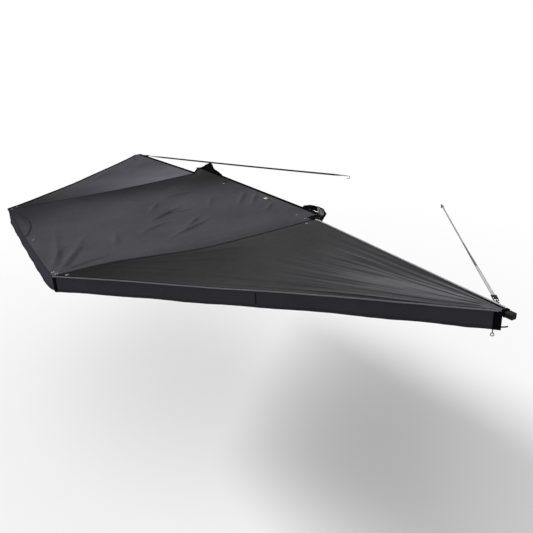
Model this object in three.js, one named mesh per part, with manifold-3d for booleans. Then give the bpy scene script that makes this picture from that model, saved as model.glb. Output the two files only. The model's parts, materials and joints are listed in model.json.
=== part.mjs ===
// A vehicle side awning, opened out. A base rail bolts to the side of a roof rack and carries a hub at
// each end. Four arms swing on the hubs' nearly upright pivots, each with a telescopic leg stored in it.
// A canopy of three panels lies over the arms, with a valance along its outer edges, and two straps run
// from the edge arms back to the far side of the rack.
// Millimetres. +X points away from the vehicle, +Y to its rear and +Z up. The origin is the middle of
// the rail's back face.
import * as THREE from "three";
import { mergeVertices } from "three/addons/utils/BufferGeometryUtils.js";
import Module from "manifold-3d";

const wasm = await Module();
wasm.setup();

// Overall layout
const hubSpacing = 2300; // between the two inner pivots, along the rail
const armLength = 2040; // from a pivot to the tip of its arm
const armDroop = THREE.MathUtils.degToRad(1.5);
const laneInner = 60; // rail's back face to the outer arms' pivots
const laneOuter = 106; // rail's back face to the edge arms' pivots
const hubStagger = 60; // how far an edge arm's pivot lies beyond its outer arm's, along the rail
const levelStep = 44; // height between the front pair of arms and the rear pair

// Clearances
const seatGap = 0.3; // between parts that bear on each other
const boreClearance = 0.3; // radial, round pins and bolts
const cutOverrun = 5; // how far a cutting tool runs past what it cuts
const roundSides = 24;
const smallRoundSides = 16;
const hexSides = 6;
const weldDistance = 1e-4; // vertices nearer than this are one

// Base rail
const railDepth = 30;
const railAbove = 62;
const railBelow = 50;
const railWall = 4;
const railLip = 9;
const railEndMargin = 40; // rail beyond the edge arm's pivot
const ribHeight = 6;
const ribThickness = 3;

// Rack brackets and their bolts
const rackBracketSpacing = 1700;
const rackBracketWidth = 60;
const rackPlate = 5;
const rackLegAbove = 15;
const rackLegBelow = 53;
const rackFootLength = 95;
const rackSlotLength = 40;
const rackSlotWidth = 9;
const rackSlotStart = 22; // rail's back face to the slot's near end
const rackBoltRadius = 4;
const rackBoltHeight = -15; // above the middle of the rail
const rackBoltHead = 6;
const rackBoltHeadRadius = 8;
const rackNutThickness = 6.5;
const rackBoltEnd = 3; // thread beyond the nut

// Hub brackets and pivot bolts
const plateThickness = 4;
const bossHeight = 3;
const bossRadius = 12;
const hubPlateRadius = 22;
const webThickness = 5;
const webTopGap = 2; // web's top edge below the rail's top
const webReach = 30; // web beyond the inner pivot, along the rail
const pivotRadius = 6;
const pivotHeadHeight = 6;
const pivotHeadRadius = 10;
const pivotHeadGap = 0.6;
const pivotEnd = 4; // thread below the lower plate

// Arms
const armWidth = 38;
const armHeight = 36;
const armWall = 2;
const grooveWidth = 3;
const grooveDepth = 0.8;
const knuckleHeight = 38;
const knuckleRadius = 18;
const knuckleShoulder = 30; // pivot to the end of the arm's channel
const knucklePlug = 60; // length of the plug in the channel
const capLength = 45;
const capWidth = 40;
const capHeight = 38;
const capChamfer = 5;
const earThickness = 3.4;
const earLength = 48;
const earBelow = 14; // ears below the arm's middle

// Legs
const legSize = 25;
const legWall = 2;
const legEyeWidth = 26;
const legRise = 2; // leg's middle above the arm's middle
const legPivotInset = 72; // arm's tip to the leg's pin
const legPinRadius = 4;
const legPinEndGap = 0.5;
const legOuterLength = 1093; // leg's pin to the outer tube's open end
const legEyeBlock = 34; // leg's pin to the end of its eye block
const innerSize = 20.4;
const innerWall = 1.7;
const innerEndGap = 14; // stored inner tube's end to the eye block
const innerProud = 34; // inner tube beyond the outer one when stored
const collarLength = 40;
const collarWidth = 28.4;
const collarHeight = 27.4;
const collarChamfer = 1;
const collarLeverLength = 30;
const collarLeverWidth = 12;
const collarLeverDepth = 3;
const footSize = 26;
const footChamfer = 3.5;
const footLength = 30;
const footSocket = 17;

// Canopy and valance
const fabric = 2;
const canopyInset = 10; // rail's back face to the canopy's inner edge
const edgeBare = 9; // strip of an edge arm's top that the canopy leaves bare
const seamGap = 0.6;
const cornerOverhang = 32; // canopy beyond the tip of an outer arm
const edgeCornerInset = 40; // tip of an edge arm to the canopy's corner
const hubCoverGap = 3; // between a hub's bolt heads and the canopy
const middleFall = 900; // width beside the rail over which the middle panel comes down from its height
const middlePull = 300; // length of each of its ends that is pulled down to a hub
const sagReach = 900; // distance from the rail or a hub at which the panels sag in full
const middleSag = 34;
const triangleSag = 16;
const sideBow = 24;
const hemBow = { front: 26, rear: 58 };
const creaseDepth = 5;
const creasePitch = 330;
const creaseReach = 700; // size of the creased patch in the middle panel
const streakDepth = { front: 3, rear: 6 };
const streakCount = 5;
const stripMargin = 3; // canopy that lies flat beside an arm's cap
const middleSteps = { out: 17, along: 16 };
const fanSteps = { out: 13, across: 23 };
const fanTipShare = 0.012; // share of a ray that a triangle's blunt tip leaves out
const valanceHeight = 115;
const valanceWave = 5;
const valanceWaves = 7;
const valanceInset = 3; // valance's middle inside the canopy's edge
const valanceCornerGap = 6;
const valanceSteps = { along: 28, down: 3 };

// Travel cover
const coverThickness = 3;
const coverDrop = 140;
const coverHalf = 1090;
const coverOffset = 17; // rail's back face to the hanging cover
const coverWave = 6;
const coverWaves = 9;
const coverSteps = { along: 36, down: 3 };
const flapOffset = 2;
const frontFlapLength = 540;
const frontFlapHeight = 95;
const frontFlapInset = 90; // rail's end to the flap
const rearFlapLength = 370;
const rearFlapHeight = 64;
const rearFlapBeyond = 100; // flap past the rail's end
const rearFlapDrop = 76; // below the rail's top, past its end
const frontFlapShares = [
  [0, 0.12],
  [0.12, 0.3],
  [0.28, 0.72],
  [0.42, 1],
  [0.55, 0.94],
  [0.72, 0.55],
  [0.88, 0.4],
  [1, 0.1],
];
const rearFlapShares = [
  [0, 0.06],
  [0.14, 0.5],
  [0.36, 0.82],
  [0.52, 0.86],
  [0.74, 0.96],
  [0.92, 1],
  [0.97, 0.9],
  [1, 0.6],
];

// Straps, buckles and hooks
const strapLugInset = 131; // tip of an edge arm to the strap's lug
const lugLength = 22;
const lugReach = 18;
const lugThickness = 4;
const lugHoleRadius = 4.5;
const bucklePinRadius = 4;
const buckleGap = 1.2;
const buckleEar = 3;
const buckleEarBack = 5.5;
const buckleNeck = 46;
const buckleLength = 130;
const buckleWidth = 28;
const buckleThickness = 12;
const buckleChamfer = 3;
const buckleLeverLength = 62;
const buckleLeverWidth = 22;
const buckleLeverHeight = 4;
const webbingWidth = 20;
const webbingThickness = 2.4;
const webbingBevel = 0.7;
const webbingSag = 18;
const webbingSteps = 12;
const hookPlateLength = 16;
const hookPlateWidth = 28;
const hookPlateThickness = 4;
const hookShank = 34;
const hookBend = 14;
const hookReturn = 12;
const hookRod = 3.5;
const hookSides = 4; // to each half of its section
const hookBendSteps = 8;
const hookSteps = 16;
const strapEnds = { front: [-1397, -263, -80], rear: [-1327, 1300, -80] };

// Guy ring under the rear valance
const guyRingRadius = 11;
const guyRingRod = 1.7;
const guyRingSides = 8;
const guyRingSteps = 20;
const guyTabWidth = 5;
const guyTabHeight = 22;
const guyRingInset = 20; // along the hem from the valance's end

const materials = {
  aluminium: { color: 0xb9bbbd, roughness: 0.38, metalness: 0.85 },
  blackMetal: { color: 0x1c1c1e, roughness: 0.5, metalness: 0.3 },
  steel: { color: 0x8e9094, roughness: 0.35, metalness: 0.9 },
  blackPlastic: { color: 0x17171a, roughness: 0.55, metalness: 0 },
  rubber: { color: 0x141414, roughness: 0.85, metalness: 0 },
  canopyCloth: { color: 0x4b494f, roughness: 0.8, metalness: 0 },
  valanceCloth: { color: 0x262528, roughness: 0.82, metalness: 0 },
  coverCloth: { color: 0x19191b, roughness: 0.7, metalness: 0 },
  webbing: { color: 0x3a3b3e, roughness: 0.85, metalness: 0 },
};
for (const [name, look] of Object.entries(materials)) {
  materials[name] = new THREE.MeshStandardMaterial(look);
}

// Values worked out from the sizes above
const halfHubs = hubSpacing / 2;
const railHalf = halfHubs + hubStagger + railEndMargin;
const plateInner = knuckleHeight / 2 + bossHeight;
const plateOuter = plateInner + plateThickness;
const armInnerHalf = armWidth / 2 - armWall;
const armInnerTop = armHeight / 2 - armWall;
const tipReach = (armLength + cornerOverhang) * Math.cos(armDroop);
const cornerX = laneInner + tipReach;
const edgeX = laneOuter - armWidth / 2 + edgeBare;
const cornerY = halfHubs + hubStagger + (armLength - edgeCornerInset) * Math.cos(armDroop);
const canopyBase = railAbove + seatGap;
const hubCover = plateOuter + pivotHeadGap + pivotHeadHeight + hubCoverGap; // canopy over a hub's middle
const webEdge = railDepth + seatGap + webThickness + seamGap; // canopy lies at the rail's height up to here
const innerOverlap = legOuterLength - legEyeBlock - innerEndGap; // inner tube inside the outer, stored
const legPivotX = armLength - legPivotInset;
const stripX = laneOuter + capWidth / 2 + stripMargin; // canopy lies flat over an edge arm up to here
const stripY = halfHubs + capWidth / 2 + stripMargin; // and over an outer arm up to here

const hubs = [
  { name: "front", side: -1, level: -levelStep / 2, lean: Math.sin(armDroop) },
  { name: "rear", side: 1, level: levelStep / 2, lean: 0 },
];

const group = new THREE.Group();

function addMesh(parent, name, geometry, material) {
  const mesh = new THREE.Mesh(geometry, material);
  mesh.name = name;
  parent.add(mesh);
  return mesh;
}

// Geometry and solids

function toSolid(geometry) {
  const plain = geometry.index ? geometry.toNonIndexed() : geometry.clone();
  plain.deleteAttribute("normal");
  plain.deleteAttribute("uv");
  const merged = mergeVertices(plain, weldDistance);
  return new wasm.Manifold(
    new wasm.Mesh({
      numProp: 3,
      vertProperties: new Float32Array(merged.attributes.position.array),
      triVerts: new Uint32Array(merged.index.array),
    }),
  );
}

function toGeometry(solid) {
  const mesh = solid.getMesh();
  const geometry = new THREE.BufferGeometry();
  geometry.setAttribute("position", new THREE.BufferAttribute(mesh.vertProperties, mesh.numProp));
  geometry.setIndex(new THREE.BufferAttribute(mesh.triVerts, 1));
  const flat = geometry.toNonIndexed();
  flat.computeVertexNormals();
  return flat;
}

function joined(solids) {
  return solids.reduce((all, next) => all.add(next));
}

function cutBy(solid, tools) {
  return tools.reduce((left, tool) => left.subtract(tool), solid);
}

function block(x0, x1, y0, y1, z0, z1) {
  const geometry = new THREE.BoxGeometry(x1 - x0, y1 - y0, z1 - z0);
  geometry.translate((x0 + x1) / 2, (y0 + y1) / 2, (z0 + z1) / 2);
  return toSolid(geometry);
}

const frames = {
  x: new THREE.Matrix4().makeBasis(
    new THREE.Vector3(0, 1, 0),
    new THREE.Vector3(0, 0, 1),
    new THREE.Vector3(1, 0, 0),
  ),
  y: new THREE.Matrix4().makeBasis(
    new THREE.Vector3(1, 0, 0),
    new THREE.Vector3(0, 0, 1),
    new THREE.Vector3(0, -1, 0),
  ),
  z: new THREE.Matrix4(),
};

function shapeOf(points) {
  return new THREE.Shape(points.map(([a, b]) => new THREE.Vector2(a, b)));
}

// Extrudes an outline along an axis: outlines are drawn in (y, z) for x, (x, z) for y and (x, y) for z.
function prism(axis, shape, from, to) {
  const geometry = new THREE.ExtrudeGeometry(shape, { depth: to - from, bevelEnabled: false });
  geometry.applyMatrix4(frames[axis]);
  if (axis === "x") {
    geometry.translate(from, 0, 0);
  } else if (axis === "y") {
    geometry.translate(0, to, 0);
  } else {
    geometry.translate(0, 0, from);
  }
  return toSolid(geometry);
}

// A round or six-sided rod along a direction, from one distance to another past a centre.
function rod(centre, direction, radius, from, to, sides = roundSides) {
  const geometry = new THREE.CylinderGeometry(radius, radius, to - from, sides);
  geometry.translate(0, (from + to) / 2, 0);
  geometry.applyQuaternion(
    new THREE.Quaternion().setFromUnitVectors(new THREE.Vector3(0, 1, 0), direction),
  );
  geometry.translate(centre.x, centre.y, centre.z);
  return toSolid(geometry);
}

// The outline round a set of circles and points: their convex hull.
function hullOutline(circles) {
  const points = circles.flatMap(({ x, y, radius }) =>
    Array.from({ length: radius ? roundSides : 1 }, (_, i) => {
      const angle = (i / roundSides) * Math.PI * 2;
      return [x + radius * Math.cos(angle), y + radius * Math.sin(angle)];
    }),
  );
  points.sort((a, b) => a[0] - b[0] || a[1] - b[1]);
  const half = (list) => {
    const kept = [];
    for (const p of list) {
      while (kept.length > 1) {
        const [a, b] = kept.slice(-2);
        const turn = (b[0] - a[0]) * (p[1] - a[1]) - (b[1] - a[1]) * (p[0] - a[0]);
        if (turn > 0) break;
        kept.pop();
      }
      kept.push(p);
    }
    return kept.slice(0, -1);
  };
  return [...half(points), ...half([...points].reverse())];
}

// A thin closed sheet over a grid of points, with its second face moved off by the offset.
function sheet(rowShares, columnShares, pointAt, offset) {
  const rows = rowShares.length;
  const columns = columnShares.length;
  const positions = [];
  for (const shift of [new THREE.Vector3(), offset]) {
    for (const row of rowShares) {
      for (const column of columnShares) {
        const p = pointAt(row, column).add(shift);
        positions.push(p.x, p.y, p.z);
      }
    }
  }
  const layer = rows * columns;
  const at = (i, j, k) => k * layer + i * columns + j;
  const index = [];
  const quad = (a, b, c, d) => index.push(a, b, c, a, c, d);
  const lastRow = rows - 1;
  const lastColumn = columns - 1;
  for (let i = 0; i < lastRow; i++) {
    for (let j = 0; j < lastColumn; j++) {
      quad(at(i, j, 0), at(i, j + 1, 0), at(i + 1, j + 1, 0), at(i + 1, j, 0));
      quad(at(i, j, 1), at(i + 1, j, 1), at(i + 1, j + 1, 1), at(i, j + 1, 1));
    }
    quad(at(i, 0, 0), at(i + 1, 0, 0), at(i + 1, 0, 1), at(i, 0, 1));
    quad(at(i + 1, lastColumn, 0), at(i, lastColumn, 0), at(i, lastColumn, 1), at(i + 1, lastColumn, 1));
  }
  for (let j = 0; j < lastColumn; j++) {
    quad(at(0, j + 1, 0), at(0, j, 0), at(0, j, 1), at(0, j + 1, 1));
    quad(at(lastRow, j, 0), at(lastRow, j + 1, 0), at(lastRow, j + 1, 1), at(lastRow, j, 1));
  }
  const geometry = new THREE.BufferGeometry();
  geometry.setAttribute("position", new THREE.Float32BufferAttribute(positions, 3));
  geometry.setIndex(index);
  return facingOut(geometry.toNonIndexed());
}

// Equal steps from one share to another
function steps(count, from = 0, to = 1) {
  return Array.from({ length: count + 1 }, (_, i) => from + ((to - from) * i) / count);
}

// Turns a closed geometry's faces outwards, if they point inwards.
function facingOut(geometry) {
  const p = geometry.attributes.position;
  const corner = [new THREE.Vector3(), new THREE.Vector3(), new THREE.Vector3()];
  const read = (i) => corner.forEach((c, k) => c.fromBufferAttribute(p, i + k));
  let volume = 0;
  for (let i = 0; i < p.count; i += 3) {
    read(i);
    volume += corner[0].dot(corner[1].cross(corner[2]));
  }
  for (let i = 0; volume < 0 && i < p.count; i += 3) {
    read(i);
    p.setXYZ(i + 1, corner[2].x, corner[2].y, corner[2].z);
    p.setXYZ(i + 2, corner[1].x, corner[1].y, corner[1].z);
  }
  geometry.computeVertexNormals();
  return geometry;
}

function smooth(t) {
  const c = Math.min(Math.max(t, 0), 1);
  return c * c * (3 - 2 * c);
}

// Base rail, rack brackets and their bolts

function baseRail() {
  const top = railAbove;
  const low = -railBelow;
  const inner = railWall;
  const front = railDepth - railWall;
  const rib = rackBoltHeadRadius + seatGap;
  const ribs = [rackBoltHeight + rib, rackBoltHeight - rib].flatMap((z, i) => {
    const start = i ? z : z + ribThickness;
    const end = i ? z - ribThickness : z;
    return [
      [inner, start],
      [inner + ribHeight, start],
      [inner + ribHeight, end],
      [inner, end],
    ];
  });
  const outline = shapeOf([
    [0, low],
    [railDepth, low],
    [railDepth, low + railLip],
    [front, low + railLip],
    [front, low + railWall],
    [inner, low + railWall],
    ...ribs.reverse(),
    [inner, top - railWall],
    [front, top - railWall],
    [front, top - railLip],
    [railDepth, top - railLip],
    [railDepth, top],
    [0, top],
  ]);
  const holes = rackBolts.map(({ y }) =>
    rod(
      new THREE.Vector3(0, y, rackBoltHeight),
      new THREE.Vector3(1, 0, 0),
      rackBoltRadius + boreClearance,
      -cutOverrun,
      railWall + cutOverrun,
      smallRoundSides,
    ),
  );
  return cutBy(prism("y", outline, -railHalf, railHalf), holes);
}

const rackBolts = hubs.map(({ name, side }) => ({ name, y: (side * rackBracketSpacing) / 2 }));

function rackBracket(y) {
  const half = rackBracketWidth / 2;
  const back = -seatGap - rackPlate;
  const footEnd = back - rackFootLength;
  const leg = block(back, -seatGap, y - half, y + half, -rackLegBelow, rackLegAbove);
  const foot = block(footEnd, -seatGap, y - half, y + half, -rackLegBelow, rackPlate - rackLegBelow);
  const slotHalf = rackSlotWidth / 2;
  const slotNear = back - rackSlotStart - slotHalf;
  const slotFar = slotNear - rackSlotLength + rackSlotWidth;
  const slot = hullOutline([
    { x: slotNear, y, radius: slotHalf },
    { x: slotFar, y, radius: slotHalf },
  ]);
  const bore = rod(
    new THREE.Vector3(0, y, rackBoltHeight),
    new THREE.Vector3(-1, 0, 0),
    rackBoltRadius + boreClearance,
    0,
    rackPlate + cutOverrun,
    smallRoundSides,
  );
  return cutBy(joined([leg, foot]), [
    prism("z", shapeOf(slot), -rackLegBelow - cutOverrun, rackPlate - rackLegBelow + cutOverrun),
    bore,
  ]);
}

function rackBolt(y) {
  const centre = new THREE.Vector3(0, y, rackBoltHeight);
  const outward = new THREE.Vector3(1, 0, 0);
  const head = railWall + seatGap;
  const nut = -seatGap - rackPlate - seatGap;
  const end = nut - rackNutThickness - rackBoltEnd;
  return joined([
    rod(centre, outward, rackBoltHeadRadius, head, head + rackBoltHead, hexSides),
    rod(centre, outward, rackBoltRadius, end, head + rackBoltHead / 2, smallRoundSides),
    rod(centre, outward, rackBoltHeadRadius, nut - rackNutThickness, nut, hexSides),
  ]);
}

// Hubs

function pivotsOf(hub) {
  const inner = {
    centre: new THREE.Vector3(laneInner, hub.side * halfHubs, hub.level),
    axis: new THREE.Vector3(Math.sin(armDroop), 0, Math.cos(armDroop)),
  };
  const tilt = Math.sin(armDroop / 2);
  const outer = {
    centre: new THREE.Vector3(laneOuter, hub.side * (halfHubs + hubStagger), hub.level),
    axis: new THREE.Vector3(
      hub.lean,
      hub.side * tilt,
      Math.sqrt(1 - hub.lean ** 2 - tilt ** 2),
    ),
  };
  return { inner, outer };
}

function hubBracket(hub) {
  const { inner, outer } = pivotsOf(hub);
  const webBack = railDepth + seatGap;
  const webFront = webBack + webThickness;
  const nearY = hub.side * (halfHubs - webReach);
  const farY = outer.centre.y + hub.side * hubPlateRadius;
  const low = Math.min(nearY, farY);
  const high = Math.max(nearY, farY);
  const outline = hullOutline([
    { x: inner.centre.x, y: inner.centre.y, radius: hubPlateRadius },
    { x: outer.centre.x, y: outer.centre.y, radius: hubPlateRadius },
    { x: webBack, y: nearY, radius: 0 },
    { x: webBack, y: farY, radius: 0 },
  ]);
  const plates = [plateInner, -plateOuter].map((z) =>
    prism("z", shapeOf(outline), hub.level + z, hub.level + z + plateThickness),
  );
  const web = block(webBack, webFront, low, high, -railBelow, railAbove - webTopGap);
  const bossEnd = knuckleHeight / 2 + seatGap;
  const bossRoot = plateInner + plateThickness / 2;
  const bosses = [inner, outer].flatMap(({ centre, axis }) => [
    rod(centre, axis, bossRadius, bossEnd, bossRoot),
    rod(centre, axis, bossRadius, -bossRoot, -bossEnd),
  ]);
  const bores = [inner, outer].map(({ centre, axis }) =>
    rod(
      centre,
      axis,
      pivotRadius + boreClearance,
      -plateOuter - cutOverrun,
      plateOuter + cutOverrun,
    ),
  );
  return cutBy(joined([web, ...plates, ...bosses]), bores);
}

function pivotBolt({ centre, axis }) {
  const head = plateOuter + pivotHeadGap;
  return joined([
    rod(centre, axis, pivotRadius, -plateOuter - pivotEnd, head + pivotHeadHeight / 2),
    rod(centre, axis, pivotHeadRadius, head, head + pivotHeadHeight, hexSides),
  ]);
}

// Arms, drawn along +X from the pivot and then turned into place

function armKnuckle(axis) {
  const origin = new THREE.Vector3();
  const eye = rod(origin, axis, knuckleRadius, -knuckleHeight / 2, knuckleHeight / 2);
  const neck = block(
    pivotRadius + boreClearance,
    knuckleShoulder,
    -armWidth / 2 + armWall,
    armWidth / 2 - armWall,
    -armHeight / 2,
    armHeight / 2,
  );
  const plug = block(
    knuckleShoulder - cutOverrun,
    knuckleShoulder + knucklePlug,
    -armInnerHalf + seatGap,
    armInnerHalf - seatGap,
    -armHeight / 2 + seatGap,
    armInnerTop - seatGap,
  );
  const bore = rod(
    origin,
    axis,
    pivotRadius + boreClearance,
    -knuckleHeight,
    knuckleHeight,
  );
  return cutBy(joined([eye, neck, plug]), [bore]);
}

function armChannel(lugSide) {
  const w = armWidth / 2;
  const h = armHeight / 2;
  const groove = grooveWidth / 2;
  const inner = armInnerHalf;
  const outline = shapeOf([
    [-w, -h],
    [-inner, -h],
    [-inner, armInnerTop],
    [inner, armInnerTop],
    [inner, -h],
    [w, -h],
    [w, -groove],
    [w - grooveDepth, 0],
    [w, groove],
    [w, h],
    [groove, h],
    [0, h - grooveDepth],
    [-groove, h],
    [-w, h],
    [-w, groove],
    [-w + grooveDepth, 0],
    [-w, -groove],
  ]);
  const start = knuckleShoulder + seatGap;
  const end = armLength - capLength - seatGap;
  const channel = prism("x", outline, start, end);
  if (!lugSide) return channel;
  const lugX = armLength - strapLugInset;
  const near = w - armWall / 2;
  const far = w + lugReach;
  const lug = block(
    lugX - lugLength / 2,
    lugX + lugLength / 2,
    Math.min(lugSide * near, lugSide * far),
    Math.max(lugSide * near, lugSide * far),
    h - lugThickness,
    h,
  );
  const hole = rod(
    lugHole(lugSide),
    new THREE.Vector3(0, 0, 1),
    lugHoleRadius,
    -lugThickness,
    lugThickness,
    smallRoundSides,
  );
  return cutBy(channel.add(lug), [hole]);
}

// Middle of the strap lug's hole, in the arm's own frame
function lugHole(lugSide) {
  return new THREE.Vector3(
    armLength - strapLugInset,
    lugSide * (armWidth / 2 + lugReach / 2),
    armHeight / 2 - lugThickness / 2,
  );
}

function tipCap() {
  const start = armLength - capLength;
  const outline = chamferedOutline(capWidth, capHeight, capChamfer, 0);
  const head = prism("x", shapeOf(outline), start, armLength);
  const earOuter = armInnerHalf - seatGap;
  const earStart = start - earLength;
  const ears = [-1, 1].map((side) => {
    const near = side * (earOuter - earThickness);
    const far = side * earOuter;
    return block(
      earStart,
      start + cutOverrun,
      Math.min(near, far),
      Math.max(near, far),
      -earBelow,
      armInnerTop - seatGap,
    );
  });
  const bore = rod(
    new THREE.Vector3(legPivotX, 0, legRise),
    new THREE.Vector3(0, 1, 0),
    legPinRadius + boreClearance,
    -armWidth,
    armWidth,
    smallRoundSides,
  );
  return cutBy(joined([head, ...ears]), [bore]);
}

function legPin() {
  const reach = armInnerHalf - legPinEndGap;
  return rod(
    new THREE.Vector3(legPivotX, 0, legRise),
    new THREE.Vector3(0, 1, 0),
    legPinRadius,
    -reach,
    reach,
    smallRoundSides,
  );
}

function chamferedOutline(width, height, chamfer, middle) {
  const w = width / 2;
  const h = height / 2;
  return [
    [-w + chamfer, middle - h],
    [w - chamfer, middle - h],
    [w, middle - h + chamfer],
    [w, middle + h - chamfer],
    [w - chamfer, middle + h],
    [-w + chamfer, middle + h],
    [-w, middle + h - chamfer],
    [-w, middle - h + chamfer],
  ];
}

function squareOutline(size, middle) {
  const half = size / 2;
  return [
    [-half, middle - half],
    [half, middle - half],
    [half, middle + half],
    [-half, middle + half],
  ];
}

function squareTube(size, wall, from, to) {
  const bore = prism(
    "x",
    shapeOf(squareOutline(size - 2 * wall, legRise)),
    from - cutOverrun,
    to + cutOverrun,
  );
  return prism("x", shapeOf(squareOutline(size, legRise)), from, to).subtract(bore);
}

function legOuter() {
  const half = legSize / 2;
  const axis = new THREE.Vector3(0, 1, 0);
  const pin = new THREE.Vector3(legPivotX, 0, legRise);
  const body = squareTube(legSize, legWall, legPivotX - legOuterLength, legPivotX - legEyeBlock / 2);
  const eye = rod(pin, axis, half, -legEyeWidth / 2, legEyeWidth / 2);
  const eyeBlock = block(
    legPivotX - legEyeBlock,
    legPivotX,
    -legEyeWidth / 2,
    legEyeWidth / 2,
    legRise - half,
    legRise + half,
  );
  const bore = rod(pin, axis, legPinRadius + boreClearance, -legSize, legSize, smallRoundSides);
  return cutBy(joined([body, eye, eyeBlock]), [bore]);
}

function legCollar() {
  const end = legPivotX - legOuterLength;
  const outline = shapeOf(chamferedOutline(collarWidth, collarHeight, collarChamfer, legRise));
  const bore = prism(
    "x",
    shapeOf(squareOutline(legSize + 2 * seatGap, legRise)),
    end - cutOverrun,
    end + collarLength + cutOverrun,
  );
  const underside = legRise - collarHeight / 2;
  const wall = (collarHeight - legSize) / 2 - seatGap;
  const lever = block(
    end + (collarLength - collarLeverLength) / 2,
    end + (collarLength + collarLeverLength) / 2,
    -collarLeverWidth / 2,
    collarLeverWidth / 2,
    underside - collarLeverDepth,
    underside + wall / 2,
  );
  return joined([prism("x", outline, end, end + collarLength).subtract(bore), lever]);
}

function legInner() {
  const end = legPivotX - legOuterLength;
  return squareTube(innerSize, innerWall, end - innerProud, end + innerOverlap);
}

// A foot's socket takes the inner tube's end, and its plug fits inside the tube.
function legFoot() {
  const tubeEnd = legPivotX - legOuterLength - innerProud;
  const floor = tubeEnd - seatGap;
  const mouth = floor + footSocket;
  const bored = innerSize - 2 * innerWall - 2 * seatGap;
  const outline = chamferedOutline(footSize, footSize, footChamfer, legRise);
  const body = prism("x", shapeOf(outline), mouth - footLength, mouth);
  const socket = squareOutline(innerSize + 2 * seatGap, legRise);
  const plug = prism("x", shapeOf(squareOutline(bored, legRise)), floor - cutOverrun, mouth);
  return body.subtract(prism("x", shapeOf(socket), floor, mouth + cutOverrun)).add(plug);
}

function armFrame(hub, outer) {
  const c = Math.cos(armDroop);
  const s = Math.sin(armDroop);
  const along = outer ? new THREE.Vector3(0, hub.side * c, -s) : new THREE.Vector3(c, 0, -s);
  const up = outer ? new THREE.Vector3(0, hub.side * s, c) : new THREE.Vector3(s, 0, c);
  return new THREE.Matrix4().makeBasis(along, up.clone().cross(along), up);
}

function addArm(name, hub, outer) {
  const pivots = pivotsOf(hub);
  const pivot = outer ? pivots.outer : pivots.inner;
  const frame = armFrame(hub, outer);
  const localAxis = pivot.axis.clone().transformDirection(frame.clone().invert());
  const arm = new THREE.Group();
  arm.quaternion.setFromRotationMatrix(frame);
  arm.position.copy(pivot.centre);
  group.add(arm);
  const lugSide = outer ? hub.side : 0;
  const part = (piece, solid, material) => addMesh(arm, `${name}_${piece}`, toGeometry(solid), material);
  part("knuckle", armKnuckle(localAxis), materials.blackMetal);
  part("channel", armChannel(lugSide), materials.aluminium);
  part("tip_cap", tipCap(), materials.blackPlastic);
  part("leg_pin", legPin(), materials.steel);
  part("leg_outer", legOuter(), materials.aluminium);
  part("leg_collar", legCollar(), materials.blackPlastic);
  part("leg_inner", legInner(), materials.aluminium);
  part("leg_foot", legFoot(), materials.rubber);
  return arm;
}

// Canopy

// Height of the canopy's underside over an arm, at a level distance from its pivot. It runs straight from
// over the hub's bolt heads to the cap at the arm's tip.
function overArm(hub, distance) {
  const d = Math.max(distance, 0);
  const cap = (capHeight / 2 + seatGap) / Math.cos(armDroop);
  const rise = (hubCover - cap) * Math.max(1 - d / armLength, 0);
  return hub.level + cap - d * Math.tan(armDroop) + rise;
}

function middlePoint(out, along) {
  const [front, rear] = hubs;
  const bow = sideBow * 4 * along * (1 - along) * smooth(out);
  const x = canopyInset + (cornerX - canopyInset) * out - bow;
  const y = (hubSpacing - seamGap) * (along - 1 / 2);
  const inner = hubSpacing - stripY; // beyond this the panel lies flat over an arm
  const across = Math.min(Math.max(y / inner, -1), 1);
  const d = x - laneInner;
  const level = (overArm(front, d) * (1 - across) + overArm(rear, d) * (1 + across)) / 2;
  const pull = smooth((halfHubs - Math.abs(y)) / middlePull);
  const fall = (edgeX - webEdge) * (1 - pull) + middleFall * pull;
  const lift = (canopyBase - level) * (1 - smooth((x - webEdge) / fall));
  const droop = smooth((x - railDepth) / sagReach) * (1 - across ** 2);
  const patchX = (x - (cornerX + canopyInset) / 2) / creaseReach;
  const patch = Math.exp(-(patchX ** 2) - (y / creaseReach) ** 2);
  const crease = creaseDepth * patch * Math.sin(((x + y) / creasePitch) * Math.PI * 2);
  return new THREE.Vector3(x, y, level + lift + (crease - middleSag) * droop);
}

// The first row of the middle panel lies flat on the rail, and its outermost columns lie flat over the arms.
function middleRows() {
  const [onRail, overHub] = [webEdge, edgeX].map((x) => (x - canopyInset) / (cornerX - canopyInset));
  return [0, onRail, ...steps(middleSteps.out, overHub)];
}

function middleColumns() {
  const strip = (stripY - halfHubs) / hubSpacing;
  return [0, ...steps(middleSteps.along, strip, 1 - strip), 1];
}

// A point of a triangular panel. Rays run from the corner on the edge arm (ray 0) to the seam (ray 1),
// from the hem (across 0) to the flat strip over the edge arm (across 1), whose far side is across 2.
function trianglePoint(hub, ray, across) {
  const reachX = cornerX - stripX;
  const reachY = cornerY - halfHubs - seamGap / 2;
  const hem = Math.hypot(reachX, reachY);
  const fan = Math.min(across, 1);
  const bow = (hemBow[hub.name] * 4 * ray * (1 - ray) * (1 - fan) ** 3) / hem;
  const x = across > 1 ? edgeX : stripX + reachX * (1 - fan) * ray - bow * reachY;
  const y = cornerY - reachY * ray - bow * reachX;
  const a = Math.max(x - stripX, 0);
  const b = Math.max(y - stripY, 0);
  const share = a + b > 0 ? b / (a + b) : 1 / 2;
  const overOuter = overArm(hub, a + b + Math.min(x, stripX) - laneInner);
  const overEdge = overArm(hub, a + b + Math.min(y, stripY) - halfHubs - hubStagger);
  const level = overOuter * (1 - share) + overEdge * share;
  const droop = 4 * share * (1 - share) * smooth((a + b) / sagReach);
  const streakFade = Math.sin(Math.PI * ray) * Math.sin(Math.PI * fan);
  const streak = streakDepth[hub.name] * streakFade * Math.sin(2 * Math.PI * streakCount * fan);
  const sag = droop * (streak - triangleSag);
  return new THREE.Vector3(x, hub.side * y, level + sag);
}

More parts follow.
